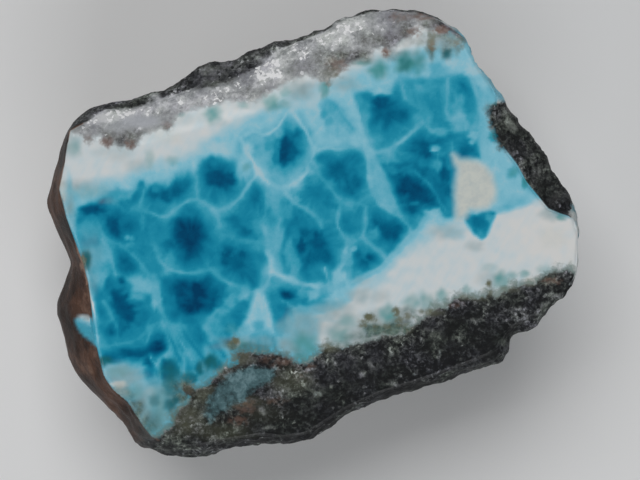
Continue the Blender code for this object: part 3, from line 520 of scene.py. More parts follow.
# Deep green spots
DEEP = (
    (170, 372, 9, 13, 0.7), (169, 391, 8, 7, 0.5), (200, 376, 7, 6, 0.35), (232, 329, 8, 6, 0.22),
    (169, 404, 7, 6, 0.75), (175, 399, 4, 4, 0.6), (189, 377, 9, 6, 0.6), (194, 379, 4, 4, 0.6),
    (211, 362, 7, 8, 0.95), (218, 365, 5, 5, 0.5), (200, 368, 3, 7, 0.8), (447, 54, 6, 6, 0.8),
    (405, 63, 6, 9, 0.45), (414, 60, 12, 9, 0.2), (154, 401, 5, 6, 0.4), (156, 418, 8, 10, 0.25),
    (104, 361, 8, 5, 0.95), (250, 346, 16, 4, 0.4), (86, 260, 5, 11, 0.8),
)

# Cream: the shape of the large spot, its soft edge and strength, and smaller tints
CREAM_EDGE, CREAM_STRENGTH = 5.5, 0.92
CREAM_HALO, CREAM_HALO_EDGE = 0.86, 6.0  # tone and soft edge of the vein round the large spot
CREAM_SPOT = (
    (453, 154), (461, 160), (470, 160), (479, 162), (487, 167), (493, 176), (496, 188), (495, 200),
    (488, 208), (480, 210), (471, 209), (464, 217), (456, 219), (456, 208), (454, 196), (456, 183),
    (458, 170),
)
CREAM = (
    (325, 350, 5, 3, 0.6), (530, 280, 6, 3, 0.9), (553, 238, 14, 10, 0.3), (186, 385, 6, 2, 0.5),
    (168, 136, 14, 9, 0.35), (237, 344, 3, 3, 0.8), (119, 385, 9, 4, 0.6), (120, 392, 8, 4, 0.25),
    (63, 190, 4, 10, 0.5),
)

# Stains of reddish brown, and of olive
RUST = (
    (88, 139, 6, 5, 0.5), (107, 142, 7, 6, 0.8), (131, 144, 6, 6, 0.9), (167, 125, 6, 4, 0.7),
    (337, 65, 12, 9, 0.7), (386, 53, 5, 5, 0.9), (400, 17, 14, 6, 0.7), (434, 46, 4, 5, 0.4),
    (441, 30, 10, 5, 1.0), (189, 391, 5, 4, 0.3), (414, 32, 9, 6, 0.75), (425, 16, 14, 5, 0.85),
    (265, 359, 10, 4, 0.5), (285, 362, 14, 5, 0.6), (311, 366, 6, 4, 0.5), (300, 374, 12, 8, 0.3),
    (456, 305, 10, 4, 0.45), (246, 406, 11, 8, 0.7), (238, 421, 10, 6, 0.65), (150, 440, 10, 6, 0.6),
    (276, 400, 14, 6, 0.4), (552, 281, 10, 4, 0.7),
)
OLIVE = (
    (460, 44, 7, 10, 0.6), (432, 42, 5, 10, 0.9), (82, 261, 4, 8, 0.9), (235, 341, 5, 6, 0.9),
    (369, 317, 6, 6, 1.0), (363, 324, 6, 5, 0.9), (375, 321, 4, 9, 0.7), (386, 326, 5, 4, 0.7),
    (394, 332, 14, 5, 0.4), (406, 328, 6, 5, 0.6), (396, 313, 5, 6, 0.9), (399, 322, 5, 7, 0.8),
    (409, 317, 6, 4, 0.9), (488, 284, 4, 4, 0.9), (491, 291, 4, 5, 0.7), (328, 348, 12, 5, 0.7),
    (430, 312, 12, 4, 0.8), (187, 388, 8, 5, 0.6), (470, 298, 16, 3, 0.5), (510, 289, 10, 3, 0.5),
    (184, 418, 16, 16, 0.6), (204, 393, 10, 10, 0.5), (246, 402, 26, 6, 0.35), (290, 381, 22, 12, 0.4),
    (240, 358, 14, 6, 0.7), (222, 374, 8, 6, 0.5), (530, 284, 8, 3, 0.6), (216, 432, 38, 8, 0.32),
    (262, 412, 24, 12, 0.15), (328, 82, 5, 6, 0.5), (333, 73, 10, 6, 0.7), (192, 395, 6, 4, 0.3),
)

# How light the rock is, from black at 0 to near white at 1: in the far wall, in the near wall beside the
# vein and farther from it, where it is darker towards its lower rim, partly as painted shade, and at the
# sides
FAR_ASH, NEAR_ASH, LOW_ASH_AND_SHADE, SIDE_ASH = 0.8, 0.25, 0.08, 0.24
# Patches of how light the rock is. Some paint light and shade: the far rim's outer edge from (202, 84) to
# (256, 55) is lightened as painted light, the patches of 0.9 and more in the far wall's band from (105, 119)
# to (360, 23) are pale rock lightened further as painted highlight, and the patches of 0.1 and less along
# the lower rim from (142, 440) to (456, 327) are painted shade
ASH_AND_PAINTED_LIGHT = (
    (63, 148, 5, 26, 0.05), (57, 200, 9, 22, 0.36), (68, 232, 7, 22, 0.13), (68, 290, 9, 20, 0.12),
    (72, 320, 8, 16, 0.2), (90, 364, 10, 16, 0.37), (108, 392, 14, 16, 0.38), (126, 416, 11, 15, 0.2),
    (150, 440, 10, 6, -0.1), (82, 266, 3, 4, 0.6), (105, 119, 15, 6, 1.04), (123, 116, 18, 6, 1.02),
    (145, 112, 10, 5, 0.96), (162, 106, 12, 5, 0.88), (130, 128, 30, 7, 0.82), (136, 135, 11, 6, 0.6),
    (107, 138, 12, 7, 0.6), (127, 143, 12, 7, 0.55), (88, 138, 8, 6, 0.72), (165, 124, 8, 5, 0.7),
    (182, 104, 14, 7, 0.94), (205, 98, 10, 6, 0.93), (225, 91, 12, 5, 0.92), (252, 90, 14, 5, 0.72),
    (245, 97, 18, 4, 0.84), (275, 68, 18, 14, 0.97), (262, 82, 10, 6, 0.88), (297, 55, 16, 12, 0.92),
    (300, 70, 14, 8, 0.72), (318, 60, 12, 10, 0.72), (335, 62, 12, 10, 0.6), (352, 57, 13, 5, 0.52),
    (328, 39, 17, 7, 0.99), (345, 28, 12, 8, 0.99), (360, 23, 10, 6, 1.03), (354, 40, 9, 6, 0.88),
    (376, 24, 13, 9, 0.84), (370, 40, 14, 7, 0.7), (390, 40, 12, 8, 0.56), (398, 20, 12, 6, 0.72),
    (405, 32, 8, 7, 0.58), (419, 23, 5, 6, 0.86), (427, 25, 4, 4, 0.4), (432, 20, 5, 6, 0.68),
    (442, 27, 10, 6, 0.5), (454, 34, 8, 4, 0.5), (215, 78, 16, 6, 0.55), (240, 68, 10, 5, 0.42),
    (156, 97, 6, 4, 0.92), (122, 104, 8, 3, 0.42), (202, 84, 12, 4, 0.5), (230, 72, 9, 4, 0.42),
    (209, 71, 10, 5, 0.64), (226, 64, 10, 4, 0.6), (243, 60, 8, 3, 0.5), (256, 55, 8, 4, 0.5),
    (185, 83, 10, 3, 0.14), (180, 430, 26, 18, 0.31), (203, 412, 12, 18, 0.36), (215, 436, 22, 9, 0.1),
    (245, 420, 22, 12, 0.1), (245, 405, 16, 8, 0.19), (270, 390, 14, 9, 0.3), (300, 385, 16, 14, 0.27),
    (285, 374, 10, 8, 0.34), (307, 371, 10, 6, 0.4), (330, 374, 7, 8, 0.12), (285, 394, 14, 8, 0.34),
    (264, 393, 8, 5, 0.4), (313, 377, 7, 6, 0.38), (247, 360, 9, 4, 0.42), (263, 411, 4, 6, 0.62),
    (300, 432, 5, 5, 0.58), (215, 437, 7, 3, 0.5), (236, 428, 3, 5, 0.56), (270, 427, 9, 2, 0.6),
    (300, 405, 16, 10, 0.16), (279, 413, 12, 6, 0.2), (325, 382, 4, 6, 0.1), (318, 392, 8, 6, 0.34),
    (331, 387, 2, 3, 0.55), (205, 450, 18, 3, 0.2), (142, 440, 9, 6, 0.03), (250, 442, 22, 5, 0.04),
    (300, 438, 20, 4, 0.1), (398, 389, 22, 4, 0.0), (362, 375, 4, 4, 0.58), (393, 383, 4, 4, 0.58),
    (372, 364, 5, 6, 0.42), (344, 360, 10, 6, 0.34), (424, 360, 14, 6, 0.24), (456, 358, 10, 8, 0.0),
    (430, 335, 14, 9, 0.3), (433, 331, 3, 4, 0.5), (460, 340, 3, 4, 0.62), (455, 335, 6, 5, 0.3),
    (456, 327, 12, 7, -0.04), (480, 310, 20, 10, 0.15), (520, 312, 8, 6, 0.42), (527, 320, 3, 4, 0.6),
    (553, 295, 7, 4, 0.34), (545, 305, 5, 3, 0.5), (560, 280, 12, 5, 0.14), (505, 345, 6, 7, 0.46),
    (540, 311, 8, 5, 0.4), (420, 376, 24, 8, -0.05), (312, 424, 20, 9, 0.04), (552, 281, 9, 4, 0.42),
    (494, 105, 10, 9, 0.26), (494, 124, 9, 13, 0.3), (504, 118, 5, 9, 0.56), (512, 128, 6, 8, 0.6),
    (505, 137, 7, 6, 0.2), (502, 118, 3, 3, 0.1), (530, 155, 8, 12, 0.36), (555, 188, 6, 7, 0.42),
)

# Painted highlights, where glints of light off the rough rock are painted as near-white grains: x, y, half
# width, half height, strength
PAINTED_GLINTS = (
    (92, 122, 9, 4, 0.9), (108, 117, 14, 5, 1.1), (123, 113, 16, 5, 1.2), (148, 112, 16, 4, 1.0),
    (179, 103, 5, 4, 1.2), (206, 98, 4, 4, 1.3), (215, 95, 5, 4, 1.4), (230, 88, 6, 4, 1.4),
    (237, 84, 4, 4, 1.2), (205, 97, 8, 5, 0.8), (217, 101, 7, 4, 1.0), (222, 93, 8, 4, 0.8),
    (235, 87, 10, 3, 0.6), (251, 84, 8, 5, 0.5), (268, 71, 20, 12, 1.3), (300, 52, 15, 10, 0.9),
    (328, 40, 17, 7, 1.1), (344, 29, 10, 7, 1.2), (357, 25, 9, 6, 1.1), (315, 62, 12, 8, 0.3),
    (375, 20, 14, 6, 0.2),
)

# Where the far wall is cut smooth
SMOOTH = ((140, 121, 25, 6, 0.85), (120, 126, 12, 6, 0.6))

# Every tint, painted glint and painted shade, by the name that the finish reads
TINTS = {
    "sage": SAGE, "haze": HAZE_AND_SHADE, "grime": GRIMY, "deep": DEEP, "cream": CREAM, "rust": RUST,
    "olive": OLIVE, "painted_glint": PAINTED_GLINTS, "smooth": SMOOTH,
}

# Dull teal left inside the near wall: softness of the edge, corners
BURIED = (8, ((204, 414), (210, 424), (220, 412), (232, 405), (248, 398), (264, 387), (276, 376), (274, 368),
              (258, 366), (238, 371), (219, 382), (207, 396)))

# Where the vein comes out at the sides: it lies between the lines of its two walls, which lean and wander
FAR_LINE, FAR_LEAN = ((70, 131), (420, 22)), 1.3
NEAR_LINE, NEAR_LEAN = ((160, 436), (575, 275)), 0.5
SEAM_WANDERS = ((12.0, 14.0, 7), (4.0, 4.0, 8))  # by how much, over what width, seed
BROKEN_CORNER = (
    (470, 100), (500, 103), (520, 98), (540, 118), (582, 185), (576, 198), (572, 208), (566, 222),
    (556, 228), (528, 214), (498, 168), (474, 128),
)
CORNER_DEPTH = (14.0, 24.0)  # how far down the broken corner goes

# The knob of blue vein on the left side, and the blue at the far end
KNOB_SHAPE = (
    (74, 321), (77, 317), (82, 315), (88, 316), (92, 318), (98, 330), (101, 347), (96, 347), (90, 341),
    (84, 337), (78, 330),
)
KNOB_EDGE, KNOB_DEPTH = (-1.5, 2.5), 9.0
KNOB_LIGHT, KNOB_SHADE = 0.95, 0.36
KNOB_SLANT, KNOB_TURN = 0.4, (284.0, 293.0)  # the slanting line over which it is lighter
BLUE_SIDE = ((462, 20), (515, 80), (510, 101), (480, 101), (455, 45))
BLUE_SIDE_EDGE, BLUE_SIDE_FROM, BLUE_SIDE_TONE = (-2.0, 3.0), 400.0, 0.78

# What is stored for the finish: how far inside the polish marks start, how far down the lightness of the
# rock is drawn, how deep in the near wall it is darkest, partly as painted shade, and how far inside a wall
# counts as fully inside
MARKS_FROM = -2.0
ASH_DEPTH = 12.0
LOW_FROM = (6.0, 36.0)
FAR_WALL_FULL, NEAR_WALL_FULL, SIDE_WALL_FULL = 12.0, 20.0, 20.0
LEFT_FULL = 40.0  # how far left the ends of the vein are fully weathered and in painted shade


def step(value, low, high):
    """0 up to low, 1 from high on, and smooth between them."""
    t = np.clip((value - low) / (high - low), 0.0, 1.0)
    return t * t * (3.0 - 2.0 * t)


def roughened(places, width, seed):
    """Soft noise from -1 to 1 at each place, with lumps of this width."""
    shift = Vector([seed * apart for apart in SEED_SHIFT])
    return np.array([noise.noise(Vector(p) / width + shift) for p in places])


def laid_flat(spots, level=0.0):
    """Spots as places for a noise, all at one level."""
    return np.column_stack([spots, np.full(len(spots), level)])


def in_frame(places):
    """Where the eye sees each place of the stone, in points of the frame."""
    depth = EYE[2] - places[:, 2]
    nearness = (EYE[2] - FACE_HEIGHT) / depth
    right = (places[:, 0] - EYE[0]) * nearness
    up = (places[:, 1] - EYE[1]) * nearness
    return EYE_POINT + POINTS_PER_MM * np.stack([right, -up], 1)


def from_line(spots, line):
    """Each spot's distance from a line of points, and how far along the line it is nearest."""
    line = np.array(line, float)
    lengths = np.hypot(*np.diff(line, axis=0).T)
    walked = np.concatenate([[0.0], np.cumsum(lengths)])
    least = np.full(len(spots), np.inf)
    share = np.zeros(len(spots))
    for start, end, length, before in zip(line[:-1], line[1:], lengths, walked):
        way = (end - start) / max(length, TINY)
        along = np.clip((spots - start) @ way, 0.0, length)
        away = np.hypot(*(spots - start - along[:, None] * way).T)
        nearer = away < least
        least[nearer] = away[nearer]
        share[nearer] = (before + along[nearer]) / walked[-1]
    return least, share


def inside_by(spots, corners):
    """How far inside a closed shape each spot is, and below 0 outside it."""
    corners = np.array(corners, float)
    least, _ = from_line(spots, np.vstack([corners, corners[:1]]))
    inside = np.zeros(len(spots), bool)
    for a, b in zip(corners, np.roll(corners, -1, 0)):
        if a[1] == b[1]:
            continue
        crosses = (spots[:, 1] < a[1]) != (spots[:, 1] < b[1])
        at = a[0] + (spots[:, 1] - a[1]) / (b[1] - a[1]) * (b[0] - a[0])
        inside ^= crosses & (spots[:, 0] < at)
    return np.where(inside, least, -least)


def across(way):
    """The direction at a right angle to this one."""
    return np.array([-way[1], way[0]])


def past_line(spots, line):
    """How far each spot lies to the right of a straight line, as seen from its start."""
    start, end = np.array(line, float)
    return (spots - start) @ across((end - start) / np.hypot(*(end - start)))


def near(spots, corners, margin):
    """Which spots are in the box round some corners, with a margin."""
    corners = np.array(corners, float)
    low, high = corners.min(0) - margin, corners.max(0) + margin
    return np.all((spots > low) & (spots < high), axis=1)


def painted_shape(tone, spots, corners, value, edge):
    """A filled shape with a soft edge, painted over what is there."""
    chosen = near(spots, corners, edge)
    cover = step(inside_by(spots[chosen], corners), -edge, edge)
    tone[chosen] += (value - tone[chosen]) * cover


def painted_line(tone, spots, points, start, end, width):
    """A vein: a bright line in a fainter haze, painted over what is there."""
    chosen = near(spots, points, VEIN_REACH * width)
    away, share = from_line(spots[chosen], points)
    value = start + (end - start) * share
    places = laid_flat(spots[chosen], VEIN_LEVEL)
    away = away / (1.0 + VEIN_UNEVEN * roughened(places, VEIN_LUMPS, VEIN_EDGE))
    haze = HAZE_STRENGTH * np.exp(-((away / (HAZE_WIDTH * width)) ** 2))
    strength = LINE_STRENGTH + LINE_WAVER * roughened(places, LINE_LUMPS, VEIN_LINE)
    line = strength * np.exp(-((away / (LINE_WIDTH * width)) ** 2))
    tone[chosen] += (value - tone[chosen]) * np.clip(np.maximum(haze, line), 0.0, 1.0)


def patch_cover(spots, mark, spread, full, gone):
    """How fully a patch covers each spot. Spread pulls its outline out along the fibres round it."""
    x, y, wide, high, _ = mark
    away = (spots - (x, y)) / (wide, high)
    distance = np.hypot(*away.T)
    way = away / np.maximum(distance, TINY)[:, None]
    own = PATCH_KEY[0] * x + PATCH_KEY[1] * y
    pulled = roughened(laid_flat(way * PULL_LOBES, own), 1.0, PULL)
    return 1.0 - step(distance * (1.0 + spread * pulled), full, gone)


def near_patch(spots, mark):
    """Which spots a patch can reach."""
    x, y, wide, high, _ = mark
    return near(spots, ((x, y),), PATCH_REACH * max(wide, high))


def painted_patches(tone, spots, patches, allowed=True):
    """Round patches of a tone, painted over what is there."""
    for mark in patches:
        chosen = near_patch(spots, mark) & allowed
        spread = FIBRE_SPREAD * min(1.0, (mark[2] + mark[3]) / SMALL_PATCH)
        tone[chosen] += (mark[4] - tone[chosen]) * patch_cover(spots[chosen], mark, spread, *PATCH_FADE)


def tinted(spots, patches):
    """The strength of a tint at each spot."""
    tint = np.zeros(len(spots))
    for mark in patches:
        chosen = near_patch(spots, mark)
        cover = patch_cover(spots[chosen], mark, TINT_SPREAD, *TINT_FADE)
        tint[chosen] = np.maximum(tint[chosen], mark[4] * cover)
    return tint


def fibres(spots):
    """Fine fibres that run out from each cell's middle, from -1 to 1, and how far out each spot is."""
    away = spots[:, None, :] - np.array(CELL_MIDDLES, float)[None]
    distance = np.hypot(away[..., 0], away[..., 1])
    nearest = distance.argmin(1)
    rows = np.arange(len(spots))
    reach = distance[rows, nearest]
    way = away[rows, nearest] / np.maximum(reach, TINY)[:, None]
    woven = np.zeros(len(spots))
    for close, outwards, apart, strength, seed in FIBRES:
        places = laid_flat(way * close, reach * outwards + nearest * apart)
        woven += strength * roughened(places, 1.0, seed)
    return woven, reach


def wandering(spots):
    """The spots moved a little by noise, so that drawn outlines wander as grown ones do."""
    moved = spots.copy()
    for size, width in WANDERS:
        moved[:, 0] += size * roughened(laid_flat(spots), width, WANDER_RIGHT)
        moved[:, 1] += size * roughened(laid_flat(spots), width, WANDER_DOWN)
    return moved


def cell_tones(spots):
    """How light the vein is at each spot of the polished face."""
    tone = np.full(len(spots), GROUND_TONE)
    moved = wandering(spots)
    for value, edge, corners in AREAS + CELLS:
        painted_shape(tone, moved, corners, value, edge)
    painted_patches(tone, moved, PATCHES)
    for start, end, width, points in VEINS:
        painted_line(tone, moved, points, start, end, width)
    for value, width, start, end in STREAKS:
        painted_line(tone, moved, (start, end), value, value, width)
    painted_shape(tone, moved, CREAM_SPOT, CREAM_HALO, CREAM_HALO_EDGE)
    streaks, reach = fibres(moved)
    blue = 1.0 - step(tone, *WHITE_FROM)
    calmer = 1.0 - PALE_CALM * step(tone, *PALE_FROM)
    tone += FIBRE_STRENGTH * step(reach, *FIBRES_FROM) * blue * calmer * streaks
    clouds = roughened(laid_flat(spots), CLOUD_WIDTH, CLOUD)
    milky = np.column_stack([spots @ MILK_WAY / MILK_LENGTH, spots @ across(MILK_WAY)])
    milk = roughened(laid_flat(milky), MILK_WIDTH, MILK)
    white = 1.0 - blue
    return tone + BLUE_CLOUDS * clouds * blue + white * (WHITE_CLOUDS * clouds + WHITE_MILK * milk)


def only(thing):
    """Selects one object and nothing else."""
    bpy.ops.object.select_all(action="DESELECT")
    thing.select_set(True)
    bpy.context.view_layer.objects.active = thing


def corner_places(mesh):
    """The places of a mesh's corners, one row each."""
    places = np.empty(len(mesh.vertices) * 3)
    mesh.vertices.foreach_get("co", places)
    return places.reshape(-1, 3)


def set_places(mesh, places):
    """Moves a mesh's corners to these places."""
    mesh.vertices.foreach_set("co", places.astype(np.float32).ravel())
    mesh.update()


def copied_stone(node):
    """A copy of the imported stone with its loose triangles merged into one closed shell."""
    stone = node.copy()
    stone.data = node.data.copy()
    stone.name = stone.data.name = "larimar_rock"
    for key in [k for k in stone.keys() if k.startswith("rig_")]:
        del stone[key]
    stone.parent = None
    bpy.context.scene.collection.objects.link(stone)
    only(stone)
    bpy.ops.object.mode_set(mode="EDIT")
    bpy.ops.mesh.select_all(action="SELECT")
    bpy.ops.mesh.remove_doubles(threshold=MERGE * MM)
    bpy.ops.mesh.customdata_custom_splitnormals_clear()
    bpy.ops.object.mode_set(mode="OBJECT")
    return stone


def applied(stone, name, kind, **values):
    """Adds a modifier, sets it and applies it."""
    only(stone)
    change = stone.modifiers.new(name, kind)
    for key, value in values.items():
        setattr(change, key, value)
    bpy.ops.object.modifier_apply(modifier=name)


def grouped(stone, name, weights):
    """A vertex group that holds a modifier back where its weights are low."""
    group = stone.vertex_groups.new(name=name)
    levels = np.round(np.clip(weights, 0.0, 1.0) * WEIGHT_STEPS).astype(int)
    for level in range(WEIGHT_STEPS + 1):
        group.add(np.flatnonzero(levels == level).tolist(), level / WEIGHT_STEPS, "REPLACE")


def rolled(places):
    """How far the polish has rolled down at each place, and how far inside its edge the place is."""
    inset = inside_by(in_frame(places), RIM) / POINTS_PER_MM
    turn = np.degrees(np.arctan2(places[:, 1], places[:, 0])) % 360.0
    share = step(turn, *ROLL_FROM) * (1.0 - step(turn, *ROLL_TO))
    return ROLL_DROP * share * np.clip(1.0 - inset / ROLL_WIDTH, 0.0, 1.0) ** 2, inset


def finer_top(stone):
    """Halves the grid of the polished face, where the markings are."""
    only(stone)
    places = corner_places(stone.data) / MM
    drop, inset = rolled(places)
    top = (inset > -FINE_MARGIN) & (places[:, 2] > FACE_HEIGHT - drop - FINE_DEPTH)
    bpy.ops.object.mode_set(mode="EDIT")
    bpy.ops.mesh.select_all(action="DESELECT")
    bpy.ops.object.mode_set(mode="OBJECT")
    for face in stone.data.polygons:
        face.select = all(top[v] for v in face.vertices)
    bpy.ops.object.mode_set(mode="EDIT")
    bpy.ops.mesh.select_mode(type="FACE")
    bpy.ops.mesh.subdivide(number_cuts=1)
    bpy.ops.mesh.select_all(action="DESELECT")
    bpy.ops.object.mode_set(mode="OBJECT")


def pattern(name, kind, width):
    """A texture that pushes the rough rock in and out."""
    made = bpy.data.textures.new(name, kind)
    made.noise_scale = width * MM
    return made


def build_stone(node, low, high):
    """The stone with rounded polish and rough sides, and how far inside the polish each corner is."""
    stone = copied_stone(node)
    applied(stone, "even_grid", "REMESH", mode="VOXEL", voxel_size=GRID * MM, adaptivity=0.0)
    finer_top(stone)
    places = corner_places(stone.data) / MM
    drop, inset = rolled(places)
    face = FACE_HEIGHT - drop
    polish = np.where(places[:, 2] > face - POLISH_DEPTH, inset, OFF_POLISH)
    flat = polish > 0.0
    fall = EDGE_FALL * (1.0 - step(inset, 0.0, EDGE_ROUNDING))
    places[flat, 2] = (face - fall)[flat]
    set_places(stone.data, places * MM)
    rough = 1.0 - step(polish, *ROUGH_TO)
    rough *= 1.0 - LEFT_CALM * step(-places[:, 0], *LEFT_FROM) * step(places[:, 2], *LEFT_HEIGHT)
    rough *= step(np.linalg.norm(places - KNOB, axis=1), *KNOB_CALM)
    grouped(stone, "rough", rough)
    applied(stone, "worn", "SMOOTH", factor=0.5, iterations=3, vertex_group="rough")
    for name, kind, width, strength in RELIEF:
        applied(stone, name, "DISPLACE", texture=pattern(name, kind, width), texture_coords="LOCAL",
                strength=strength * MM, mid_level=0.5, vertex_group="rough")
    set_places(stone.data, np.clip(corner_places(stone.data), np.array(low), np.array(high)))
    stone.vertex_groups.clear()
    return stone, polish


def stored(mesh, name, values):
    """Stores one value for each corner of a mesh."""
    mesh.attributes.new(name, "FLOAT", "POINT").data.foreach_set("value", values.astype(np.float32))


def mark_stone(stone, polish):
    """Stores what the finish reads at every corner of the stone."""
    mesh = stone.data
    places = corner_places(mesh) / MM
    spots = in_frame(places)
    below = FACE_HEIGHT - places[:, 2]
    top = polish > MARKS_FROM
    moved = spots.copy()
    moved[top] = wandering(spots[top])

    # How light the vein is, on the face and at the sides
    tone = np.empty(len(places))
    tone[top] = cell_tones(spots[top])
    slanting = spots[~top, 1] - KNOB_SLANT * spots[~top, 0]
    tone[~top] = KNOB_LIGHT - KNOB_SHADE * step(slanting, *KNOB_TURN)
    tone[~top & (spots[:, 0] > BLUE_SIDE_FROM)] = BLUE_SIDE_TONE
    knob = step(inside_by(spots, KNOB_SHAPE), *KNOB_EDGE)
    knob = np.maximum(knob, step(inside_by(spots, BLUE_SIDE), *BLUE_SIDE_EDGE))
    knob *= below < KNOB_DEPTH

    # How far inside the rock each corner is, on the face and at the sides
    far_wall = np.maximum(inside_by(moved, FAR_WALL), inside_by(moved, CORNER_WALL))
    near_wall = inside_by(moved, NEAR_WALL)
    wander = sum(size * roughened(places, width, seed) for size, width, seed in SEAM_WANDERS)
    seam = np.minimum(past_line(spots, FAR_LINE) - FAR_LEAN * below,
                      -past_line(spots, NEAR_LINE) - NEAR_LEAN * below)
    corner = inside_by(spots, BROKEN_CORNER) * (1.0 - step(below, *CORNER_DEPTH))
    side_wall = np.maximum(-seam - wander, corner)

    # How light the rock is, with painted light and shade in some patches
    ash_and_painted_light = NEAR_ASH + (LOW_ASH_AND_SHADE - NEAR_ASH) * step(near_wall, *LOW_FROM)
    ash_and_painted_light[far_wall > near_wall] = FAR_ASH
    ash_and_painted_light[~top | (corner > 0.0)] = SIDE_ASH
    painted_patches(ash_and_painted_light, moved, ASH_AND_PAINTED_LIGHT, below < ASH_DEPTH)

    stored(mesh, "tone", tone)
    stored(mesh, "polish", polish)
    stored(mesh, "knob", knob)
    stored(mesh, "far_wall", np.clip(far_wall / FAR_WALL_FULL, -1.0, 1.0))
    stored(mesh, "near_wall", np.clip(near_wall / NEAR_WALL_FULL, -1.0, 1.0))
    stored(mesh, "side_wall", np.clip(side_wall / SIDE_WALL_FULL, -1.0, 1.0))
    stored(mesh, "ash_and_painted_light", ash_and_painted_light)
    stored(mesh, "left", step(-places[:, 0], 0.0, LEFT_FULL))
    uneven = 1.0 + TINT_MOTTLE * roughened(places[top], MOTTLE_WIDTH, MOTTLE)
    for name, patches in TINTS.items():
        values = np.zeros(len(places))
        values[top] = tinted(moved[top], patches) * uneven
        if name == "cream":
            painted_shape(values, moved, CREAM_SPOT, CREAM_STRENGTH, CREAM_EDGE)
        stored(mesh, name, values)
    edge, corners = BURIED
    stored(mesh, "buried", step(inside_by(moved, corners), -edge, edge) * top)


class Nodes:
    """Adds nodes to a material and joins them."""

    def __init__(self, material):
        self.tree = material.node_tree

    def add(self, kind, **values):
        node = self.tree.nodes.new("ShaderNode" + kind)
        for key, value in values.items():
            setattr(node, key, value)
        return node

    def join(self, source, target):
        if hasattr(source, "links"):
            self.tree.links.new(source, target)
        else:
            target.default_value = source

    def maths(self, operation, first, second):
        node = self.add("Math", operation=operation)
        self.join(first, node.inputs[0])
        self.join(second, node.inputs[1])
        return node.outputs[0]

    def sum(self, *values):
        total = values[0]
        for value in values[1:]:
            total = self.maths("ADD", total, value)
        return total

    def times(self, first, second):
        return self.maths("MULTIPLY", first, second)

    def centred(self, value, size):
        """A 0 to 1 value as a change of at most half this size up or down."""
        return self.times(self.maths("SUBTRACT", value, 0.5), size)

    def between(self, value, low, high, out_low=0.0, out_high=1.0):
        node = self.add("MapRange", interpolation_type="SMOOTHSTEP")
        for name, setting in (("Value", value), ("From Min", low), ("From Max", high),
                              ("To Min", out_low), ("To Max", out_high)):
            self.join(setting, node.inputs[name])
        return node.outputs["Result"]

    def spotted(self, strength, blots):
        """A stain of this strength, broken into spots."""
        return self.times(strength, self.between(self.sum(blots, self.times(strength, 0.35)), 0.45, 0.85))

    def stretched(self, place, scale):
        node = self.add("Mapping", vector_type="POINT")
        self.join(place, node.inputs["Vector"])
        node.inputs["Scale"].default_value = scale
        return node.outputs[0]

    def attribute(self, name):
        return self.add("Attribute", attribute_name=name).outputs["Fac"]

    def ramp(self, value, stops):
        node = self.add("ValToRGB")
        points = node.color_ramp.elements
        while len(points) < len(stops):
            points.new(0.5)
        for point, (place, colour) in zip(points, stops):
            point.position = place
            point.color = (*colour, 1.0)
        self.join(value, node.inputs["Fac"])
        return node.outputs["Color"]

    def mix(self, share, first, second, blend="MIX"):
        node = self.add("Mix", data_type="RGBA", blend_type=blend)
        self.join(share, node.inputs["Factor"])
        for socket, value in ((node.inputs[6], first), (node.inputs[7], second)):
            self.join(value if hasattr(value, "links") else (*value, 1.0), socket)
        return node.outputs[2]

    def noise(self, place, scale, detail, roughness=0.55, distortion=0.0, output="Fac"):
        node = self.add("TexNoise")
        self.join(place, node.inputs["Vector"])
        for name, setting in (("Scale", scale), ("Detail", detail), ("Roughness", roughness),
                              ("Distortion", distortion)):
            node.inputs[name].default_value = setting
        return node.outputs[output]

    def cells(self, place, scale, feature="F1", output="Distance"):
        node = self.add("TexVoronoi", feature=feature)
        self.join(place, node.inputs["Vector"])
        node.inputs["Scale"].default_value = scale
        return node.outputs[output]


# Colours of the vein by tone
VEIN_COLOURS = (
    (0.0, (0.0007, 0.058, 0.150)), (0.1, (0.0007, 0.104, 0.228)), (0.2, (0.001, 0.152, 0.290)),
    (0.3, (0.004, 0.215, 0.372)), (0.4, (0.008, 0.272, 0.440)), (0.5, (0.018, 0.330, 0.500)),
    (0.6, (0.052, 0.425, 0.595)), (0.72, (0.150, 0.532, 0.700)), (0.84, (0.280, 0.640, 0.790)),
    (0.92, (0.484, 0.700, 0.790)), (0.97, (0.70, 0.770, 0.800)), (1.0, (0.78, 0.79, 0.785)),
)
SAGE_GREEN = (0.075, 0.345, 0.355)
HAZE_AND_SHADE_GREY = (0.30, 0.42, 0.445)
CREAM_COLOURS = ((0.35, (0.60, 0.635, 0.61)), (0.6, (0.70, 0.715, 0.66)))
GRIME_COLOURS = ((0.3, (0.045, 0.08, 0.075)), (0.5, (0.09, 0.15, 0.135)), (0.7, (0.17, 0.25, 0.22)))
DEEP_GREEN = (0.012, 0.15, 0.18)
RUST_BROWN = (0.200, 0.118, 0.090)
OLIVE_BROWN = (0.150, 0.160, 0.105)
SMOOTH_GREY = (0.42, 0.445, 0.49)
BURIED_COLOURS = ((0.28, (0.034, 0.072, 0.082)), (0.5, (0.072, 0.15, 0.17)), (0.72, (0.15, 0.26, 0.29)))

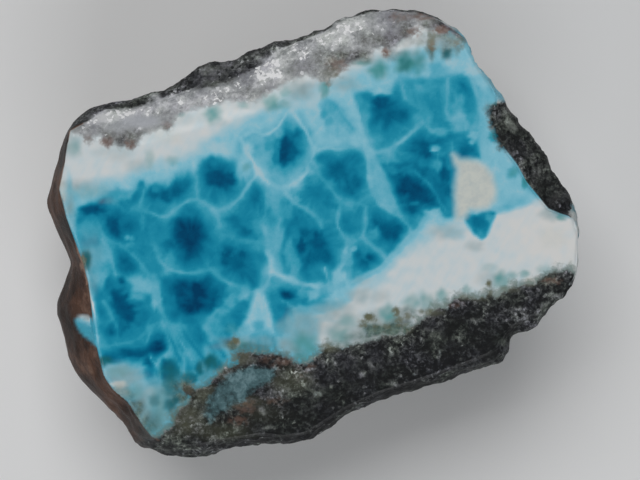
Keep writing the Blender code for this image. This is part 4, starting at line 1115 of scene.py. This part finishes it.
# Colours of the rock by how light it is, and of the vein's weathered and clean broken ends; the weathered
# ones, at the left, are also darkened as painted shade
ROCK_COLOURS = (
    (0.0, (0.006, 0.007, 0.008)), (0.2, (0.024, 0.027, 0.029)), (0.4, (0.068, 0.074, 0.074)),
    (0.6, (0.165, 0.175, 0.178)), (0.8, (0.32, 0.34, 0.355)), (1.0, (0.66, 0.68, 0.70)),
)
ROCK_HUES = ((0.38, (1.0, 0.96, 1.08)), (0.5, (1.0, 1.0, 1.0)), (0.62, (0.98, 1.04, 0.92)))
LEFT_COLOURS = ((0.3, (0.009, 0.004, 0.002)), (0.46, (0.033, 0.014, 0.008)), (0.6, (0.088, 0.042, 0.026)),
                (0.8, (0.255, 0.155, 0.11)))
RIGHT_COLOURS = ((0.3, (0.05, 0.20, 0.26)), (0.42, (0.17, 0.34, 0.41)), (0.52, (0.40, 0.50, 0.53)),
                 (0.62, (0.57, 0.62, 0.62)), (0.78, (0.68, 0.70, 0.69)))

CRUST_BROWN = (0.085, 0.062, 0.045)
# Near-white of the painted highlights where light glints off the rough rock
PAINTED_SPARKLE = (0.92, 0.93, 0.95)

# Noises of the finish: lumps to a metre, detail, roughness, distortion
BROAD, WISP = (330.0, 5.0, 0.62), (950.0, 4.0, 0.62, 0.5)
BLOTS, GRAIN = (1150.0, 2.0, 0.5), (2300.0, 3.0, 0.7)
PATCHY, HUES = (110.0, 4.0, 0.6), (170.0, 3.0, 0.6)
CRUST, LAYERS = (75.0, 5.0, 0.65), (210.0, 4.0, 0.6)
LAYER_STRETCH = (1.0, 1.0, 2.6)
BENDS, BEND = (90.0, 2.0), 0.012
CRYSTALS, RIMS = 1700.0, 130.0

# Where one thing gives way to another: from and to, and then what it gives at each end, if not 0 and 1
BROKEN_FROM = (0.05, -0.3)
WHITE_CALM = (0.82, 0.96, 1.0, 0.12)
GRIMY_FROM = (-0.5, 0.0, 0.0, 0.8)
GRIMY_WITHIN = (-0.95, -0.7)
STAIN_FROM = (0.38, 0.58, 0.6, 1.0)
MOTTLE_PATCHES = (0.38, 0.6, 0.7, 1.35)
MOTTLE_BY_ASH = (0.35, 0.8, 1.2, 0.42)
FLECKS_FROM = (0.972, 0.985, 0.0, 0.3)
PITS_FROM = (0.06, 0.1)
PITS_BY_ASH = (0.4, 0.8, -0.25, -0.08)
HUES_BY_ASH = (0.5, 0.75, 1.0, 0.3)
CRUST_FROM = (0.52, 0.66, 0.0, 0.5)
CRUST_TOP, CRUST_FULL = 36.0, 28.0  # heights in millimetres
BURIED_FROM = (0.25, 0.85, 0.0, 0.95)
PAINTED_SPARKLE_FROM = (0.6, 0.7)
FAR_WALL_FROM = (-0.3, 0.3)
NEAR_WALL_FROM = (-0.07, 0.09)
SIDE_WALL_FROM = (-0.05, 0.07)
RIMS_FROM = (0.02, 0.42, 0.66, 0.42)
BUMP_HEIGHT = 0.45


def stone_finish():
    """The finish of the whole stone: polished vein, cut basalt and broken sides."""
    made = bpy.data.materials.new("larimar_and_basalt")
    made.use_nodes = True
    n = Nodes(made)
    shader = made.node_tree.nodes["Principled BSDF"]
    place = n.add("TexCoord").outputs["Object"]
    tone, ash_and_painted_light, near_wall = (n.attribute(name) for name in ("tone", "ash_and_painted_light", "near_wall"))
    broken = n.between(n.attribute("polish"), *BROKEN_FROM)
    broad, wisp, blots, grain, patchy = (
        n.noise(place, *sizes) for sizes in (BROAD, WISP, BLOTS, GRAIN, PATCHY))
    blotchy = n.sum(broad, n.centred(wisp, 0.9))
    crystal = n.add("SeparateColor")
    n.join(n.cells(place, CRYSTALS, output="Color"), crystal.inputs[0])
    red, green, blue = (crystal.outputs[name] for name in ("Red", "Green", "Blue"))

    # The vein: its tone, then the tints, then the grime and stains along its walls
    uneven = n.sum(n.centred(wisp, 0.12), n.centred(grain, 0.05))
    uneven = n.times(uneven, n.between(tone, *WHITE_CALM))
    vein = n.ramp(n.sum(tone, uneven), VEIN_COLOURS)
    # A dull milky grey, which on the rolled far edge is painted shade
    vein = n.mix(n.attribute("haze"), vein, HAZE_AND_SHADE_GREY)
    vein = n.mix(n.attribute("sage"), vein, SAGE_GREEN)
    cream = n.ramp(n.sum(broad, n.centred(wisp, 0.5)), CREAM_COLOURS)
    vein = n.mix(n.attribute("cream"), vein, cream)
    grimy = n.sum(near_wall, n.centred(broad, 0.9), n.centred(wisp, 0.9))
    grimy = n.times(n.between(grimy, *GRIMY_FROM), n.between(near_wall, *GRIMY_WITHIN))
    stain = n.times(n.attribute("grime"), n.between(broad, *STAIN_FROM))
    vein = n.mix(n.maths("MAXIMUM", grimy, stain), vein, n.ramp(blotchy, GRIME_COLOURS))
    vein = n.mix(n.attribute("deep"), vein, DEEP_GREEN)
    olive = n.attribute("olive")
    rusty = n.spotted(n.attribute("rust"), blots)
    vein = n.mix(n.spotted(olive, blots), vein, OLIVE_BROWN)
    vein = n.mix(rusty, vein, RUST_BROWN)

    # The rock: how light it is, with painted light and shade in some patches, broken up by mottling, grains
    # and crystals, and painted highlights where light glints
    mottle = n.sum(n.centred(broad, 0.8), n.centred(wisp, 1.2), n.centred(red, 0.16), n.centred(grain, 0.6))
    mottle = n.times(n.times(mottle, n.between(patchy, *MOTTLE_PATCHES)), n.between(ash_and_painted_light, *MOTTLE_BY_ASH))
    pits = n.between(blue, *PITS_FROM, n.between(ash_and_painted_light, *PITS_BY_ASH), 0.0)
    flecks = n.sum(n.between(green, *FLECKS_FROM), pits)
    aged = n.times(n.centred(patchy, 0.9), broken)
    rock = n.ramp(n.sum(ash_and_painted_light, mottle, flecks, aged), ROCK_COLOURS)
    hue = n.maths("SUBTRACT", n.noise(place, *HUES), 0.5)
    hue = n.sum(0.5, n.times(hue, n.between(ash_and_painted_light, *HUES_BY_ASH)))
    rock = n.mix(1.0, rock, n.ramp(hue, ROCK_HUES), "MULTIPLY")
    height = n.add("SeparateXYZ")
    n.join(place, height.inputs[0])
    crust = n.between(n.noise(place, *CRUST), *CRUST_FROM)
    crust = n.times(crust, n.between(height.outputs["Z"], CRUST_TOP * MM, CRUST_FULL * MM))
    rock = n.mix(crust, rock, CRUST_BROWN)
    rock = n.mix(n.times(rusty, 0.7), rock, RUST_BROWN)
    rock = n.mix(n.times(olive, 0.6), rock, OLIVE_BROWN)
    buried = n.sum(n.attribute("buried"), n.centred(wisp, 0.9), n.centred(broad, 1.4))
    rock = n.mix(n.between(buried, *BURIED_FROM), rock, n.ramp(blotchy, BURIED_COLOURS))
    rock = n.mix(n.attribute("smooth"), rock, SMOOTH_GREY)
    # Painted highlights: near-white grains where light glints off the rough rock
    painted_glint = n.times(n.attribute("painted_glint"), 0.52)
    painted_sparkle = n.between(n.sum(painted_glint, n.centred(wisp, 1.0), n.centred(green, 0.75)), *PAINTED_SPARKLE_FROM)
    rock = n.mix(painted_sparkle, rock, PAINTED_SPARKLE)

    # Where the vein gives way to rock in the cut face
    far_wall = n.sum(n.attribute("far_wall"), n.centred(wisp, 0.6), n.centred(blots, 0.5))
    wall = n.sum(near_wall, n.centred(wisp, 0.5), n.centred(broad, 0.35))
    wall = n.maths("MAXIMUM", n.between(wall, *NEAR_WALL_FROM), n.between(far_wall, *FAR_WALL_FROM))
    face = n.mix(wall, vein, rock)

    # The sides: basalt, and between its walls the ends of the vein, weathered and darkened as painted shade
    # at the left, clean at the right
    layers = n.sum(0.49, n.centred(n.noise(n.stretched(place, LAYER_STRETCH), *LAYERS), 0.5))
    shift = n.times(n.maths("SUBTRACT", ash_and_painted_light, SIDE_ASH), 0.8)
    weathered_and_shaded = n.sum(layers, n.centred(wisp, 0.16), n.centred(patchy, 0.9), shift)
    bent = n.add("VectorMath", operation="MULTIPLY_ADD")
    n.join(n.noise(place, *BENDS, output="Color"), bent.inputs[0])
    bent.inputs[1].default_value = (BEND, BEND, BEND)
    n.join(place, bent.inputs[2])
    rims = n.between(n.cells(bent.outputs[0], RIMS, "DISTANCE_TO_EDGE"), *RIMS_FROM)
    clean = n.sum(rims, n.centred(wisp, 0.45), n.centred(patchy, 0.5))
    ends = n.mix(n.attribute("left"), n.ramp(clean, RIGHT_COLOURS), n.ramp(weathered_and_shaded, LEFT_COLOURS))
    side_wall = n.sum(n.attribute("side_wall"), n.centred(broad, 0.8), n.centred(wisp, 0.3))
    side = n.mix(n.between(side_wall, *SIDE_WALL_FROM), ends, rock)
    side = n.mix(n.attribute("knob"), side, vein)
    n.join(n.mix(broken, face, side), shader.inputs["Base Color"])

    # Gloss, and the grain that is too fine for the mesh
    dull = n.sum(n.times(wall, 0.2), 0.16, n.times(broken, 0.38))
    n.join(n.maths("SUBTRACT", dull, n.times(painted_sparkle, 0.15)), shader.inputs["Roughness"])
    shader.inputs["Specular IOR Level"].default_value = 0.3
    bump = n.add("Bump")
    relief = n.sum(n.times(wisp, 0.7), n.times(blue, 0.3))
    n.join(n.times(relief, n.maths("MAXIMUM", n.times(wall, 0.35), broken)), bump.inputs["Height"])
    bump.inputs["Strength"].default_value = 0.9
    bump.inputs["Distance"].default_value = BUMP_HEIGHT * MM
    n.join(bump.outputs["Normal"], shader.inputs["Normal"])
    return made


def plain(name, colour, roughness):
    """A finish of one colour, for the floor."""
    made = bpy.data.materials.new(name)
    made.use_nodes = True
    shader = made.node_tree.nodes["Principled BSDF"]
    shader.inputs["Base Color"].default_value = (*colour, 1.0)
    shader.inputs["Roughness"].default_value = roughness
    return made


def lay_floor():
    """A wide pale floor under the stone."""
    bpy.ops.object.select_all(action="DESELECT")
    bpy.ops.mesh.primitive_plane_add(size=FLOOR_SIZE, location=(0.0, 0.0, 0.0))
    floor = bpy.context.object
    floor.name = "floor"
    floor.data.materials.append(plain("pale_floor", FLOOR_COLOUR, FLOOR_ROUGHNESS))


def softbox(name, place, size, power, colour):
    """A soft lamp that looks at the stone."""
    lamp = bpy.data.lights.new(name, "AREA")
    lamp.shape = "RECTANGLE"
    lamp.size, lamp.size_y = size
    lamp.energy = power
    lamp.color = colour
    held = bpy.data.objects.new(name, lamp)
    held.location = place
    held.rotation_euler = (Vector(LAMPS_LOOK_AT) - Vector(place)).to_track_quat("-Z", "Y").to_euler()
    bpy.context.scene.collection.objects.link(held)


def light_and_camera():
    """Soft lamps, a dim room, and a camera straight above the polished face."""
    scene = bpy.context.scene
    for lamp in LAMPS:
        softbox(*lamp)
    world = bpy.data.worlds.new("room")
    world.use_nodes = True
    world.node_tree.nodes["Background"].inputs["Color"].default_value = (*ROOM_COLOUR, 1.0)
    scene.world = world
    lens = bpy.data.cameras.new("camera")
    lens.lens = LENS
    lens.sensor_width = SENSOR
    lens.clip_start = 0.01
    camera = bpy.data.objects.new("camera", lens)
    camera.location = Vector(EYE) * MM
    scene.collection.objects.link(camera)
    scene.camera = camera
    scene.view_settings.view_transform = "Standard"


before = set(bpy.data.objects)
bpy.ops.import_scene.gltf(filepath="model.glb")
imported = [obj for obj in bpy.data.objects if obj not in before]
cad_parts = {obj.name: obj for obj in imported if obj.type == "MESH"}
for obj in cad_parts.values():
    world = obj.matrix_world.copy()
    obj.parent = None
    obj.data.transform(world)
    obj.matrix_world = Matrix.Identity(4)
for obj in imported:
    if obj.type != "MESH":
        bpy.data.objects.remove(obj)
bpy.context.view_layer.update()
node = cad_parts["larimar_stone"]
stone, polish = build_stone(node, *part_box("larimar_stone"))
mark_stone(stone, polish)
stone.data.materials.clear()
stone.data.materials.append(stone_finish())
only(stone)
bpy.ops.object.shade_smooth()
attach(stone, "root")
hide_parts("larimar_stone")
lay_floor()
light_and_camera()
